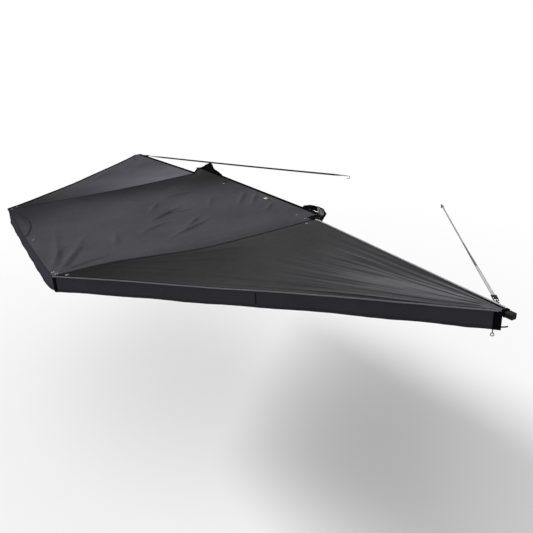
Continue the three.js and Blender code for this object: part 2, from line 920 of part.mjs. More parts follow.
// Rows of a triangular panel end in a flat one over the outer arm.
function fanRows() {
  const flat = (stripY - halfHubs) / (cornerY - halfHubs);
  return [...steps(fanSteps.out, fanTipShare, 1 - flat), 1];
}

// Valances hang from the edges just inside them.

function sideEdge(share) {
  const p = middlePoint(1, share);
  return { point: p, outward: new THREE.Vector3(1, 0, 0) };
}

function hemEdge(hub) {
  return (share) => {
    const p = trianglePoint(hub, share, 0);
    const outward = new THREE.Vector3(cornerY - halfHubs, hub.side * (cornerX - stripX), 0);
    return { point: p, outward: outward.normalize() };
  };
}

function valance(edge, from, to) {
  const offset = edge(from).outward.clone().multiplyScalar(fabric);
  return sheet(
    steps(valanceSteps.along, from, to),
    steps(valanceSteps.down),
    (u, v) => {
      const { point, outward } = edge(u);
      const wave = valanceWave * v * Math.sin(u * valanceWaves * Math.PI * 2);
      point.addScaledVector(outward, wave - valanceInset - fabric / 2);
      point.z -= seatGap + valanceHeight * v;
      return point;
    },
    offset,
  );
}

// Shares of a hem at which its valance starts, clear of the edge arm, and ends, clear of the corner
const hemRange = [fanTipShare, 1 - valanceCornerGap / (cornerX - stripX)];

// Travel cover: a strip that hangs below the rail, and a flap standing over each hub

function coverStrip() {
  return sheet(
    steps(coverSteps.along),
    steps(coverSteps.down),
    (u, v) => {
      const wave = coverWave * v * Math.sin(u * coverWaves * Math.PI * 2);
      const y = -coverHalf + 2 * coverHalf * u;
      return new THREE.Vector3(coverOffset + wave, y, -railBelow - seatGap - coverDrop * v);
    },
    new THREE.Vector3(coverThickness, 0, 0),
  );
}

function frontFlap() {
  const start = -railHalf + frontFlapInset;
  const top = frontFlapShares.map(([along, up]) => [
    start + along * frontFlapLength,
    canopyBase + up * frontFlapHeight,
  ]);
  const outline = shapeOf([
    [start, canopyBase],
    [start + frontFlapLength, canopyBase],
    ...top.reverse(),
  ]);
  return prism("x", outline, flapOffset, flapOffset + coverThickness);
}

function rearFlap() {
  const end = railHalf + rearFlapBeyond;
  const start = end - rearFlapLength;
  const top = rearFlapShares.map(([along, up]) => [
    start + along * rearFlapLength,
    canopyBase + up * rearFlapHeight,
  ]);
  const outline = shapeOf([
    [start, canopyBase],
    [railHalf + seatGap, canopyBase],
    [railHalf + seatGap, railAbove - rearFlapDrop],
    [end - rearFlapBeyond / 3, railAbove - rearFlapDrop],
    [end, railAbove - rearFlapDrop / 3],
    ...top.reverse(),
  ]);
  return prism("x", outline, flapOffset, flapOffset + coverThickness);
}

// Straps

// The strap's frame: its origin at the lug's hole, X towards the hook.
function strapFrame(hub) {
  const lug = lugHole(hub.side).applyMatrix4(armFrame(hub, true)).add(pivotsOf(hub).outer.centre);
  const end = new THREE.Vector3(...strapEnds[hub.name]);
  const along = end.clone().sub(lug).normalize();
  const side = new THREE.Vector3(0, 0, 1).cross(along).normalize();
  const up = along.clone().cross(side);
  const frame = new THREE.Matrix4().makeBasis(along, side, up).setPosition(lug);
  return { frame, lug, length: lug.distanceTo(end) };
}

function buckle() {
  const earInner = lugThickness / 2 + buckleGap;
  const earOuter = earInner + buckleEar;
  const half = buckleWidth / 2;
  const ears = [earInner, -earOuter].map((z) =>
    block(-buckleEarBack, buckleNeck + cutOverrun, -buckleEarBack, buckleEarBack, z, z + buckleEar),
  );
  const pin = rod(
    new THREE.Vector3(),
    new THREE.Vector3(0, 0, 1),
    bucklePinRadius,
    -earOuter + buckleEar / 2,
    earOuter - buckleEar / 2,
    smallRoundSides,
  );
  const t = buckleThickness / 2;
  const c = buckleChamfer;
  const outline = shapeOf([
    [buckleNeck, -t],
    [buckleLength - c, -t],
    [buckleLength, -t + c],
    [buckleLength, t - c],
    [buckleLength - c, t],
    [buckleNeck, t],
  ]);
  const body = prism("y", outline, -half, half);
  const lever = block(
    buckleLength - buckleLeverLength,
    buckleLength - c,
    -buckleLeverWidth / 2,
    buckleLeverWidth / 2,
    t - c,
    t + buckleLeverHeight,
  );
  return joined([body, lever, pin, ...ears]);
}

function webbing(length) {
  const start = buckleLength + seatGap;
  const end = length - hookPlateLength - seatGap;
  const section = shapeOf(chamferedOutline(webbingWidth, webbingThickness, webbingBevel, 0));
  const sagging = new THREE.QuadraticBezierCurve3(
    new THREE.Vector3(start, 0, 0),
    new THREE.Vector3((start + end) / 2, 0, -2 * webbingSag),
    new THREE.Vector3(end, 0, 0),
  );
  return new THREE.ExtrudeGeometry(section, { steps: webbingSteps, extrudePath: sagging });
}

// A rod bent into a hook whose mouth looks back along the strap, below its shank
function hook(length) {
  const plateStart = length - hookPlateLength;
  const half = hookPlateWidth / 2;
  const plateHalf = hookPlateThickness / 2;
  const plate = block(plateStart, length, -half, half, -plateHalf, plateHalf);
  const shankEnd = length + hookShank;
  const bend = steps(hookBendSteps).map(
    (turn) =>
      new THREE.Vector3(
        shankEnd + hookBend * Math.sin(Math.PI * turn),
        0,
        hookBend * (Math.cos(Math.PI * turn) - 1),
      ),
  );
  const start = new THREE.Vector3(plateStart + hookPlateLength / 2, 0, 0);
  const end = new THREE.Vector3(shankEnd - hookReturn, 0, -2 * hookBend);
  const route = new THREE.CatmullRomCurve3([start, ...bend, end], false, "centripetal");
  const bent = new THREE.ExtrudeGeometry(new THREE.Shape().absarc(0, 0, hookRod, 0, Math.PI * 2), {
    steps: hookSteps,
    curveSegments: hookSides,
    extrudePath: route,
  });
  return joined([plate, toSolid(bent)]);
}

function addStrap(hub) {
  const { frame, length } = strapFrame(hub);
  const strap = new THREE.Group();
  strap.quaternion.setFromRotationMatrix(frame);
  strap.position.setFromMatrixPosition(frame);
  group.add(strap);
  addMesh(strap, `${hub.name}_strap_buckle`, toGeometry(buckle()), materials.blackMetal);
  addMesh(strap, `${hub.name}_strap_webbing`, webbing(length), materials.webbing);
  addMesh(strap, `${hub.name}_strap_hook`, toGeometry(hook(length)), materials.blackMetal);
}

// Guy ring: a wire ring on a small tab, under the rear valance's end by the edge arm

function guyRing(hub) {
  const hemLength = Math.hypot(cornerX - stripX, cornerY - halfHubs);
  const { point, outward } = hemEdge(hub)(hemRange[0] + guyRingInset / hemLength);
  point.addScaledVector(outward, -valanceInset);
  const tabTop = point.z - seatGap - valanceHeight - seatGap;
  const centre = new THREE.Vector3(
    point.x,
    point.y,
    tabTop - guyTabHeight - guyRingRadius + guyRingRod,
  );
  const wire = new THREE.TorusGeometry(guyRingRadius, guyRingRod, guyRingSides, guyRingSteps);
  wire.applyMatrix4(frames.y);
  wire.translate(centre.x, centre.y, centre.z);
  const tab = block(
    point.x - guyTabWidth / 2,
    point.x + guyTabWidth / 2,
    point.y - guyRingRod / 2,
    point.y + guyRingRod / 2,
    tabTop - guyTabHeight,
    tabTop,
  );
  return joined([toSolid(wire), tab]);
}

// Assembly

addMesh(group, "base_rail", toGeometry(baseRail()), materials.aluminium);
for (const { name, y } of rackBolts) {
  addMesh(group, `${name}_rack_bracket`, toGeometry(rackBracket(y)), materials.blackMetal);
  addMesh(group, `${name}_rack_bolt`, toGeometry(rackBolt(y)), materials.steel);
}
for (const hub of hubs) {
  const { inner, outer } = pivotsOf(hub);
  addMesh(group, `${hub.name}_hub_bracket`, toGeometry(hubBracket(hub)), materials.blackMetal);
  addMesh(group, `${hub.name}_outer_pivot_bolt`, toGeometry(pivotBolt(inner)), materials.steel);
  addMesh(group, `${hub.name}_edge_pivot_bolt`, toGeometry(pivotBolt(outer)), materials.steel);
  addArm(`${hub.name}_outer_arm`, hub, false);
  addArm(`${hub.name}_edge_arm`, hub, true);
  addStrap(hub);
}

const canopyOffset = new THREE.Vector3(0, 0, fabric);
const middle = sheet(middleRows(), middleColumns(), middlePoint, canopyOffset);
addMesh(group, "canopy_middle", middle, materials.canopyCloth);
for (const hub of hubs) {
  const panel = sheet(
    fanRows(),
    [...steps(fanSteps.across), 2],
    (ray, across) => trianglePoint(hub, ray, across),
    canopyOffset,
  );
  addMesh(group, `canopy_${hub.name}`, panel, materials.canopyCloth);
  const hemValance = valance(hemEdge(hub), ...hemRange);
  addMesh(group, `valance_${hub.name}`, hemValance, materials.valanceCloth);
}
const sideMargin = valanceCornerGap / hubSpacing;
addMesh(group, "valance_side", valance(sideEdge, sideMargin, 1 - sideMargin), materials.valanceCloth);
addMesh(group, "guy_ring", toGeometry(guyRing(hubs[1])), materials.steel);

addMesh(group, "travel_cover", coverStrip(), materials.coverCloth);
addMesh(group, "front_cover_flap", toGeometry(frontFlap()), materials.coverCloth);
addMesh(group, "rear_cover_flap", toGeometry(rearFlap()), materials.coverCloth);

export default group;
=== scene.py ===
# Looks of a vehicle side awning, opened out: the cloth, its seams and fittings, the metal arms and the
# studio around them. Metres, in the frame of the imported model.
import json
from math import cos, exp, hypot, pi, radians, sin, tan

import bpy
from mathutils import Matrix, Vector, noise


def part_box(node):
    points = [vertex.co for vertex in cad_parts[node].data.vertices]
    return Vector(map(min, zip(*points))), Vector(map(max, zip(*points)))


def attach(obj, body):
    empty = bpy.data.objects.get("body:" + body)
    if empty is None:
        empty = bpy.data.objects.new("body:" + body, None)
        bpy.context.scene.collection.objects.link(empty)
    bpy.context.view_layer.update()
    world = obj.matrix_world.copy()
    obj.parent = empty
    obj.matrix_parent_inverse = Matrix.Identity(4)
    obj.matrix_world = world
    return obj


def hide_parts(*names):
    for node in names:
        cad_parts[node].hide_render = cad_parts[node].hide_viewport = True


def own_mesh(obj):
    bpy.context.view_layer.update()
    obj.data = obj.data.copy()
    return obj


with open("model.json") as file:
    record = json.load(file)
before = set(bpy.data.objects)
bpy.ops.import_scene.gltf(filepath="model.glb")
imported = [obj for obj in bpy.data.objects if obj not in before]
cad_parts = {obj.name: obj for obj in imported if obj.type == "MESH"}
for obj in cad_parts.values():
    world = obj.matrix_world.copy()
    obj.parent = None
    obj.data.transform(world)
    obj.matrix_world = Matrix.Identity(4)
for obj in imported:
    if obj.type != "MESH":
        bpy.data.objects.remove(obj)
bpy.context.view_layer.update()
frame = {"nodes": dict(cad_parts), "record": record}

OUT = Vector((1, 0, 0))
UP = Vector((0, 0, 1))
SIDE = {"front": -1, "rear": 1}

# The rail and the arms, as the solids have them
LEVEL = {"front": -0.022, "rear": 0.022}
DROOP = radians(1.5)
ARM_LENGTH = 2.040
HALF_HUBS = 1.150
STAGGER = 0.060
LANE_INNER = 0.060
LANE_OUTER = 0.106
RAIL_DEPTH = 0.030
RAIL_TOP = 0.062
CAP_TOP = 0.0193
HUB_COVER = 0.0358
STRAP_Y = 3.1925

# The canopy's plan, its height at the rail, and how far it leaves straight lines
CANOPY_BASE = 0.0623
CANOPY_BACK = 0.010
CORNER_X = 2.1313
CORNER_Y = 3.2093
EDGE_X = 0.096  # the triangles' edge by the vehicle
STRIP_X = 0.129  # outer side of the strip that lies on an edge arm
STRIP_Y = 1.173  # outer side of the strip that lies on an outer arm
WEB_EDGE = 0.0359  # where the cloth starts to fall from the rail
MIDDLE_FALL = 0.900
MIDDLE_PULL = 0.650
MIDDLE_SAG = 0.034
TRIANGLE_SAG = 0.016
SAG_REACH = 0.900
SEAM_SHIFT = {"front": 0.070, "rear": 0.150}
SEAM_DIP = {"front": 0.0, "rear": 0.008}
SEAM_GAP = 0.0003
HEM_BOW = {"front": 0.026, "rear": 0.058}
RIPPLES = {"front": 6, "rear": 5, "side": 6}
TIP_SHARE = 0.012  # how far from the edge arms' tips the triangles start

# Cloth and its trim
FABRIC = 0.002
CLOTH = 0.0016
TAPE = 0.0012
TAPE_CROWN = 0.0008
VALANCE_HEIGHT = 0.115
VALANCE_TOP = 0.0035
END_LENGTH = 2.87
SIDE_LENGTH = 2.29
BACK_START = -1.146
COVER_X = 0.0185
COVER_HALF = 1.090
COVER_TOP = -0.0503
COVER_DROP = 0.140
FLAP_X = 0.0035
REAR_FLAP_END = 1.340
RAIL_END = 1.250

# Straps: roll is a turn in degrees, where it starts and how far it takes to come, as shares of the length
LUG = {"front": Vector((0.078, -3.1188, -0.0560)), "rear": Vector((0.078, 3.1188, -0.0120))}
HOOK = {"front": Vector((-1.397, -0.263, -0.080)), "rear": Vector((-1.327, 1.300, -0.080))}
STRAP_ROLL = {"front": (84, 0.0, 0.10), "rear": (28, 0.15, 0.30)}
ROLL_END = 0.06
STRAP_SAG = 0.005
BUCKLE_LENGTH = 0.130
HOOK_PLATE = 0.016
WEBBING_WIDTH = 0.020


# Work with pieces

def clear_selection():
    for thing in bpy.context.selected_objects:
        thing.select_set(False)


def pick(piece):
    clear_selection()
    bpy.context.view_layer.objects.active = piece
    piece.select_set(True)


def name_new(name):
    piece = bpy.context.object
    piece.name = name
    piece.data.name = name
    return piece


def make(name, add, **settings):
    """A piece that starts as one of the basic forms."""
    clear_selection()
    add(**settings)
    return name_new(name)


def link_new(name, data):
    made = bpy.data.objects.new(name, data)
    bpy.context.scene.collection.objects.link(made)
    return made


def settle(piece):
    """Puts the piece's place, turn and scale into its mesh."""
    pick(piece)
    if piece.type != "MESH":
        bpy.ops.object.convert(target="MESH")
    bpy.ops.object.transform_apply(location=True, rotation=True, scale=True)
    return piece


def finish_with(piece, kind, **settings):
    pick(piece)
    modifier = piece.modifiers.new(kind.lower(), kind)
    for key, value in settings.items():
        setattr(modifier, key, value)
    bpy.ops.object.modifier_apply(modifier=modifier.name)
    return piece


def soften(piece, angle=40):
    pick(piece)
    bpy.ops.object.shade_smooth_by_angle(angle=radians(angle))
    return piece


def join(name, pieces):
    pick(pieces[0])
    for piece in pieces[1:]:
        piece.select_set(True)
    bpy.ops.object.join()
    return name_new(name)


def dress(piece, material):
    piece.data.materials.clear()
    piece.data.materials.append(material)
    return piece


def map_cloth(piece, uv_of):
    """Fills the UV map from the place of each vertex, by its number."""
    layer = piece.data.uv_layers.active or piece.data.uv_layers.new(name="UVMap")
    for loop in piece.data.loops:
        layer.data[loop.index].uv = uv_of(loop.vertex_index)


def carry(pieces, gather):
    """Hands pieces to what carries them."""
    for piece in pieces:
        gather(piece)


# Numbers and lines

def clamp(t, low=0.0, high=1.0):
    return min(max(t, low), high)


def smooth(t):
    c = clamp(t)
    return c * c * (3 - 2 * c)


def bell(t):
    return exp(-t * t)


def uneven(*place):
    return noise.noise(Vector(place))


def to_segment(x, y, a, b):
    """Distance of a point from a line, and how far along it lies, as a share."""
    dx, dy = b[0] - a[0], b[1] - a[1]
    near = clamp(((x - a[0]) * dx + (y - a[1]) * dy) / (dx * dx + dy * dy))
    return hypot(x - a[0] - near * dx, y - a[1] - near * dy), near


# Camera, as the photograph sees the awning

def add_camera():
    yaw, pitch, roll = 0.5009, 0.3712, -0.0457
    sensor, focal_pixels, picture_pixels = 36, 586.4, 533
    forward = Vector((-sin(yaw) * cos(pitch), -cos(yaw) * cos(pitch), -sin(pitch)))
    right = forward.cross(UP).normalized()
    up = right.cross(forward)
    turned_right = cos(roll) * right + sin(roll) * up
    turned_up = cos(roll) * up - sin(roll) * right
    data = bpy.data.cameras.new("camera")
    data.sensor_width = sensor
    data.lens = focal_pixels / picture_pixels * sensor
    data.clip_end = 200
    camera = link_new("camera", data)
    turn = Matrix((turned_right, turned_up, -forward)).transposed()
    camera.matrix_world = Matrix.Translation((2.6364, 5.1040, 1.4332)) @ turn.to_4x4()
    bpy.context.scene.camera = camera


# Node trees

def feed(tree, sockets, values):
    """Links each socket to its value, or sets it."""
    for key, value in values.items():
        if isinstance(value, bpy.types.NodeSocket):
            tree.links.new(value, sockets[key])
        else:
            sockets[key].default_value = value


def put(tree, kind, inputs=None, **settings):
    made = tree.nodes.new("ShaderNode" + kind)
    for key, value in settings.items():
        setattr(made, key, value)
    feed(tree, made.inputs, inputs or {})
    return made


def calc(tree, operation, *values):
    return put(tree, "Math", dict(enumerate(values)), operation=operation).outputs[0]


def calc_vector(tree, operation, *values):
    return put(tree, "VectorMath", dict(enumerate(values)), operation=operation).outputs


def waves(tree, place, turns):
    """A wave between 0 and 1 along one coordinate."""
    return calc(tree, "MULTIPLY_ADD", calc(tree, "SINE", calc(tree, "MULTIPLY", place, turns)), 0.5, 0.5)


def blend(tree, share, first, second, blend_type="MIX"):
    inputs = {0: share, 6: first, 7: second}
    return put(tree, "Mix", inputs, data_type="RGBA", blend_type=blend_type).outputs[2]


def remap(tree, value, low, high, to_low=0.0, to_high=1.0, **settings):
    return put(tree, "MapRange", {"Value": value, "From Min": low, "From Max": high, "To Min": to_low,
                                  "To Max": to_high}, **settings).outputs["Result"]


def mottle(tree, place, scale, detail, roughness=0.5, distortion=0.0):
    return put(tree, "TexNoise", {"Vector": place, "Scale": scale, "Detail": detail, "Roughness": roughness,
                                  "Distortion": distortion}).outputs["Fac"]


def bumped(tree, height, distance, strength=1.0, under=None):
    inputs = {"Height": height, "Distance": distance, "Strength": strength}
    if under is not None:
        inputs["Normal"] = under
    return put(tree, "Bump", inputs).outputs[0]


def linear(*levels):
    """A colour from its three levels on a screen, of 255."""
    return tuple(c / 12.92 if c <= 0.04045 else ((c + 0.055) / 1.055) ** 2.4
                 for c in (level / 255 for level in levels)) + (1.0,)


def toned(colour, factor, more=0.0):
    return tuple(min(c * factor + more, 1) for c in colour[:3]) + (1,)


def new_group(name, build, **kinds):
    """A node group that takes a Place and more; build gives its outputs, all of them numbers."""
    tree = bpy.data.node_groups.new(name, "ShaderNodeTree")
    for socket, kind in {"Place": "Vector", **kinds}.items():
        tree.interface.new_socket(socket, in_out="INPUT", socket_type="NodeSocket" + kind)
    made = build(tree, *tree.nodes.new("NodeGroupInput").outputs[:1 + len(kinds)])
    for socket in made:
        tree.interface.new_socket(socket, in_out="OUTPUT", socket_type="NodeSocketFloat")
    feed(tree, tree.nodes.new("NodeGroupOutput").inputs, made)
    return tree


def weave(tree, place, thread):
    """Plain weave: over and under in turn, with uneven threads."""
    parts = put(tree, "SeparateXYZ", {0: place}).outputs
    turns = calc(tree, "DIVIDE", pi, thread)
    across, along = (calc(tree, "SINE", calc(tree, "MULTIPLY", parts[i], turns)) for i in (0, 1))
    stretched = calc_vector(tree, "MULTIPLY", place, (40, 900, 1))[0]
    return {"Height": calc(tree, "MULTIPLY_ADD", calc(tree, "MULTIPLY", across, along), 0.5, 0.5),
            "Slub": mottle(tree, stretched, 1.0, 2.0)}


def cloud(tree, place, size):
    """Slow drift of tone, and finer mottling over it."""
    scale = calc(tree, "DIVIDE", 1.0, size)
    slow = mottle(tree, place, scale, 3.0)
    fine = mottle(tree, place, calc(tree, "MULTIPLY", scale, 9.0), 4.0, 0.6)
    both = calc(tree, "ADD", calc(tree, "MULTIPLY", slow, 0.7), calc(tree, "MULTIPLY", fine, 0.3))
    return {"Tone": remap(tree, both, 0.35, 0.65)}


def crumple(tree, place, size):
    """Small wrinkles of coated cloth: ridges of a bent noise."""
    bent = mottle(tree, place, calc(tree, "DIVIDE", 1.0, size), 3.0, distortion=1.2)
    ridge = calc(tree, "ABSOLUTE", calc(tree, "SUBTRACT", bent, 0.5))
    return {"Height": remap(tree, ridge, 0.0, 0.2, 1.0, 0.0)}


def stitch(tree, place, row, pitch):
    """A row of stitches along the first coordinate, at a place across the second."""
    parts = put(tree, "SeparateXYZ", {0: place}).outputs
    near = calc(tree, "LESS_THAN", calc(tree, "ABSOLUTE", calc(tree, "SUBTRACT", parts[1], row)), 0.0007)
    step = calc(tree, "FRACT", calc(tree, "DIVIDE", parts[0], pitch))
    return {"Mask": calc(tree, "MULTIPLY", near, calc(tree, "LESS_THAN", step, 0.66))}


def fade(tree, place, centre, reach):
    """How near a place is to a centre: 1 there, falling softly to 0 at the reach."""
    scaled = calc_vector(tree, "DIVIDE", calc_vector(tree, "SUBTRACT", place, centre)[0], reach)[0]
    far = calc_vector(tree, "LENGTH", scaled)["Value"]
    return {"Mask": remap(tree, far, 1.0, 0.0, interpolation_type="SMOOTHSTEP")}


def painted_pleat_streaks(tree, place, tip):
    """Painted highlights and shade: streaks that fan out from a tip, where the cloth is drawn together in
    pleats.
    """
    off = calc_vector(tree, "SUBTRACT", place, tip)[0]
    parts = put(tree, "SeparateXYZ", {0: off}).outputs
    turn = calc(tree, "MULTIPLY", calc(tree, "ARCTAN2", parts[1], parts[0]), 30.0)
    far = calc(tree, "MULTIPLY", calc_vector(tree, "LENGTH", off)["Value"], 0.8)
    streak = put(tree, "CombineXYZ", {0: turn, 1: far}).outputs[0]
    return {"Tone": remap(tree, mottle(tree, streak, 1.0, 2.0), 0.40, 0.62)}


def scuff(tree, place, size):
    """Fine scratches and rubbed spots of handled metal and plastic."""
    spots = mottle(tree, place, calc(tree, "DIVIDE", 1.0, size), 6.0, 0.75)
    return {"Mask": remap(tree, spots, 0.55, 0.75)}


groups = {"weave": new_group("plain weave", weave, Thread="Float"),
          "cloud": new_group("tone drift", cloud, Size="Float"),
          "crumple": new_group("crumple", crumple, Size="Float"),
          "stitch": new_group("stitch row", stitch, Row="Float", Pitch="Float"),
          "fade": new_group("soft spot", fade, Centre="Vector", Reach="Vector"),
          "fan": new_group("painted pleat streaks", painted_pleat_streaks, Tip="Vector"),
          "scuff": new_group("scuffs", scuff, Size="Float")}


def use(tree, name, **inputs):
    return put(tree, "Group", inputs, node_tree=groups[name]).outputs


# Materials

def start_material(name, roughness, specular=0.5, metallic=0.0, sheen=0.0):
    """A material, its tree, the inputs of its surface, and places in the solid to paint by."""
    material = bpy.data.materials.new(name)
    material.use_nodes = True
    tree = material.node_tree
    tree.nodes.clear()
    shader = put(tree, "BsdfPrincipled", {"Roughness": roughness, "Metallic": metallic, "Sheen Weight": sheen,
                                          "Specular IOR Level": specular, "Sheen Roughness": 0.4})
    put(tree, "OutputMaterial", {"Surface": shader.outputs[0]})
    return material, tree, shader.inputs, put(tree, "TexCoord").outputs["Object"]


THREAD_DEPTH = 0.00025
STITCH_PITCH = 0.0065
STITCH_DEPTH = 0.0006
UNEVEN_SHINE = 0.06
RUBBED_SHINE = 0.12


def cloth_material(name, colour, thread=0.0009, roughness=0.75, drift=0.1, wrinkle=0.0006, wrinkle_size=0.05,
                   stitches=(), stitch_colour=None, painted_shading=(), fan=None):
    """Woven, coated cloth whose UV map is in metres. Each painted-shading spot is a place in the plan, its
    two reaches and the colour painted there, lighter or darker in place of light and shade; a fan has its
    tip, its two reaches and the darker and lighter colours of its streaks, painted highlights and shade along
    pleats."""
    material, tree, surface, solid = start_material(name, roughness, specular=0.0)
    place = put(tree, "UVMap").outputs[0]
    tone = use(tree, "cloud", Place=solid, Size=0.45)["Tone"]
    woven = use(tree, "weave", Place=place, Thread=thread)
    painted_shading = list(painted_shading)
    # Painted highlights and shade in streaks along the pleats
    if fan:
        *spot, darker, lighter = fan
        streaks = use(tree, "fan", Place=solid, Tip=(spot[0], spot[1], 0))["Tone"]
        painted_shading.append((*spot, blend(tree, streaks, darker, lighter)))
    paint = colour
    # Painted light and shade: each spot paints the cloth lighter or darker over a soft patch
    for x, y, reach_x, reach_y, there in painted_shading:
        near = use(tree, "fade", Place=solid, Centre=(x, y, 0), Reach=(reach_x, reach_y, 9))["Mask"]
        paint = blend(tree, near, paint, there)
    for shade in (remap(tree, tone, 0, 1, 1 - drift, 1 + drift),
                  remap(tree, woven["Slub"], 0.3, 0.7, 0.86, 1.08)):
        grey = put(tree, "CombineColor", {0: shade, 1: shade, 2: shade}).outputs[0]
        paint = blend(tree, 1.0, paint, grey, "MULTIPLY")
    normal = bumped(tree, use(tree, "crumple", Place=solid, Size=wrinkle_size)["Height"], wrinkle)
    normal = bumped(tree, woven["Height"], THREAD_DEPTH, 0.7, normal)
    for row in stitches:
        mask = use(tree, "stitch", Place=place, Row=row, Pitch=STITCH_PITCH)["Mask"]
        paint = blend(tree, mask, paint, stitch_colour)
        normal = bumped(tree, mask, STITCH_DEPTH, 0.8, normal)
    rough = remap(tree, tone, 0, 1, roughness - UNEVEN_SHINE, roughness + UNEVEN_SHINE)
    feed(tree, surface, {"Base Color": paint, "Roughness": rough, "Normal": normal})
    return material


def metal_material(name, colour, roughness, stretch, grain=0.00006, wear=0.2):
    """Drawn or brushed metal, its grain drawn out along one direction."""
    material, tree, surface, solid = start_material(name, roughness, metallic=0.9)
    drawn = put(tree, "Mapping", {"Vector": solid, "Scale": stretch}).outputs[0]
    lines = mottle(tree, drawn, 1.0, 5.0, 0.65)
    scuffs = use(tree, "scuff", Place=solid, Size=0.06)["Mask"]
    paint = blend(tree, lines, toned(colour, 0.82), colour)
    paint = blend(tree, scuffs, paint, toned(colour, 1 - wear))
    rough = calc(tree, "ADD", remap(tree, lines, 0.3, 0.7, roughness - 0.07, roughness + 0.07),
                 calc(tree, "MULTIPLY", scuffs, RUBBED_SHINE))
    feed(tree, surface, {"Base Color": paint, "Roughness": rough, "Normal": bumped(tree, lines, grain)})
    return material


def moulded_material(name, colour, roughness, grain=0.0006, depth=0.00008):
    """Moulded plastic, rubber or powder coat: a fine pebbled skin, rubbed lighter in spots."""
    material, tree, surface, solid = start_material(name, roughness, specular=0.1)
    pebbles = put(tree, "TexVoronoi", {"Vector": solid, "Scale": 1 / grain}).outputs["Distance"]
    scuffs = use(tree, "scuff", Place=solid, Size=0.03)["Mask"]
    tone = use(tree, "cloud", Place=solid, Size=0.08)["Tone"]
    paint = blend(tree, tone, toned(colour, 0.85), colour)
    paint = blend(tree, scuffs, paint, toned(colour, 1.35, 0.004))
    rough = calc(tree, "SUBTRACT", roughness + 0.05, calc(tree, "MULTIPLY", scuffs, RUBBED_SHINE))
    feed(tree, surface, {"Base Color": paint, "Roughness": rough, "Normal": bumped(tree, pebbles, depth)})
    return material


def belt_material(name, colour, edge, painted_shade_length=None):
    """Belt webbing: ribs across, and woven edges of their own colour. A length painted dark, as painted shade
    of the webbing's rolled underside, is given by its colour, where it starts and where it ends."""
    material, tree, surface, solid = start_material(name, 0.62, specular=0.3, sheen=0.1)
    along, across = put(tree, "SeparateXYZ", {0: put(tree, "UVMap").outputs[0]}).outputs[:2]
    ribs, cords = waves(tree, along, 2 * pi / 0.0022), waves(tree, across, 2 * pi / 0.0014)
    tone = use(tree, "cloud", Place=solid, Size=0.2)["Tone"]
    # The rib valleys are painted darker, as painted shade in the recesses
    valley = toned(colour, 0.72)
    paint = blend(tree, ribs, valley, colour)
    paint = blend(tree, calc(tree, "MULTIPLY", tone, 0.25), paint, valley)
    off = calc(tree, "ABSOLUTE", calc(tree, "SUBTRACT", across, WEBBING_WIDTH / 2))
    paint = blend(tree, calc(tree, "GREATER_THAN", off, WEBBING_WIDTH * 0.35), paint, edge)
    # A length painted dark, as painted shade of the webbing's rolled underside
    if painted_shade_length:
        dark, start, finish = painted_shade_length
        inside = calc(tree, "MULTIPLY", calc(tree, "GREATER_THAN", along, start),
                      calc(tree, "LESS_THAN", along, finish))
        paint = blend(tree, inside, paint, blend(tree, ribs, edge, dark))
    height = calc(tree, "ADD", ribs, calc(tree, "MULTIPLY", cords, 0.5))
    feed(tree, surface, {"Base Color": paint, "Normal": bumped(tree, height, 0.0004)})
    return material


PANEL = {"wrinkle_size": 0.07}
SEWN = {"thread": 0.0012, "wrinkle": 0.0004, "wrinkle_size": 0.02}
NARROW = {"thread": 0.0012, "wrinkle": 0.0003, "wrinkle_size": 0.01}
HEM = {"wrinkle": 0.0004, "wrinkle_size": 0.03}
COVER = {"roughness": 0.6, "wrinkle_size": 0.03}

# Painted light and shade: the three panels are one cloth in three tones, lighter and darker in place of the
# light on their facets, and their spots are painted lighter or darker: the middle darker along the front
# seam, at its outer front corner and by the rail towards the front; the front panel lighter by its hub and
# darker at its outer corner; the rear panel darker towards the outer corner by its seam and lighter by the
# edge arm's tip
middle_cloth = cloth_material("middle panel cloth", linear(77, 76, 81), wrinkle=0.0012, **PANEL, painted_shading=(
    (0.9, -1.15, 1.9, 0.75, linear(46, 45, 49)), (2.1, -1.0, 0.8, 1.0, linear(54, 53, 58)),
    (0.1, -0.7, 0.9, 1.0, linear(46, 46, 46))))
front_cloth = cloth_material("front panel cloth", linear(80, 79, 85), **PANEL, painted_shading=(
    (0.3, -1.2, 1.1, 1.1, linear(102, 101, 108)), (2.1, -1.3, 1.3, 1.1, linear(50, 50, 51))))
rear_cloth = cloth_material("rear panel cloth", linear(66, 66, 67), **PANEL, painted_shading=(
    (2.1, 1.15, 1.8, 1.1, linear(44, 44, 45)), (0.2, 3.1, 0.7, 1.0, linear(88, 88, 90))),
    # painted highlights and shade in streaks fanning out from the edge arm's tip
    fan=(0.115, 3.215, 1.5, 1.7, linear(54, 54, 55), linear(118, 118, 122)))
canopy_tape = cloth_material("canopy seam tape", linear(52, 51, 54), **SEWN, stitches=(0.003, 0.019),
                             stitch_colour=linear(78, 77, 82))
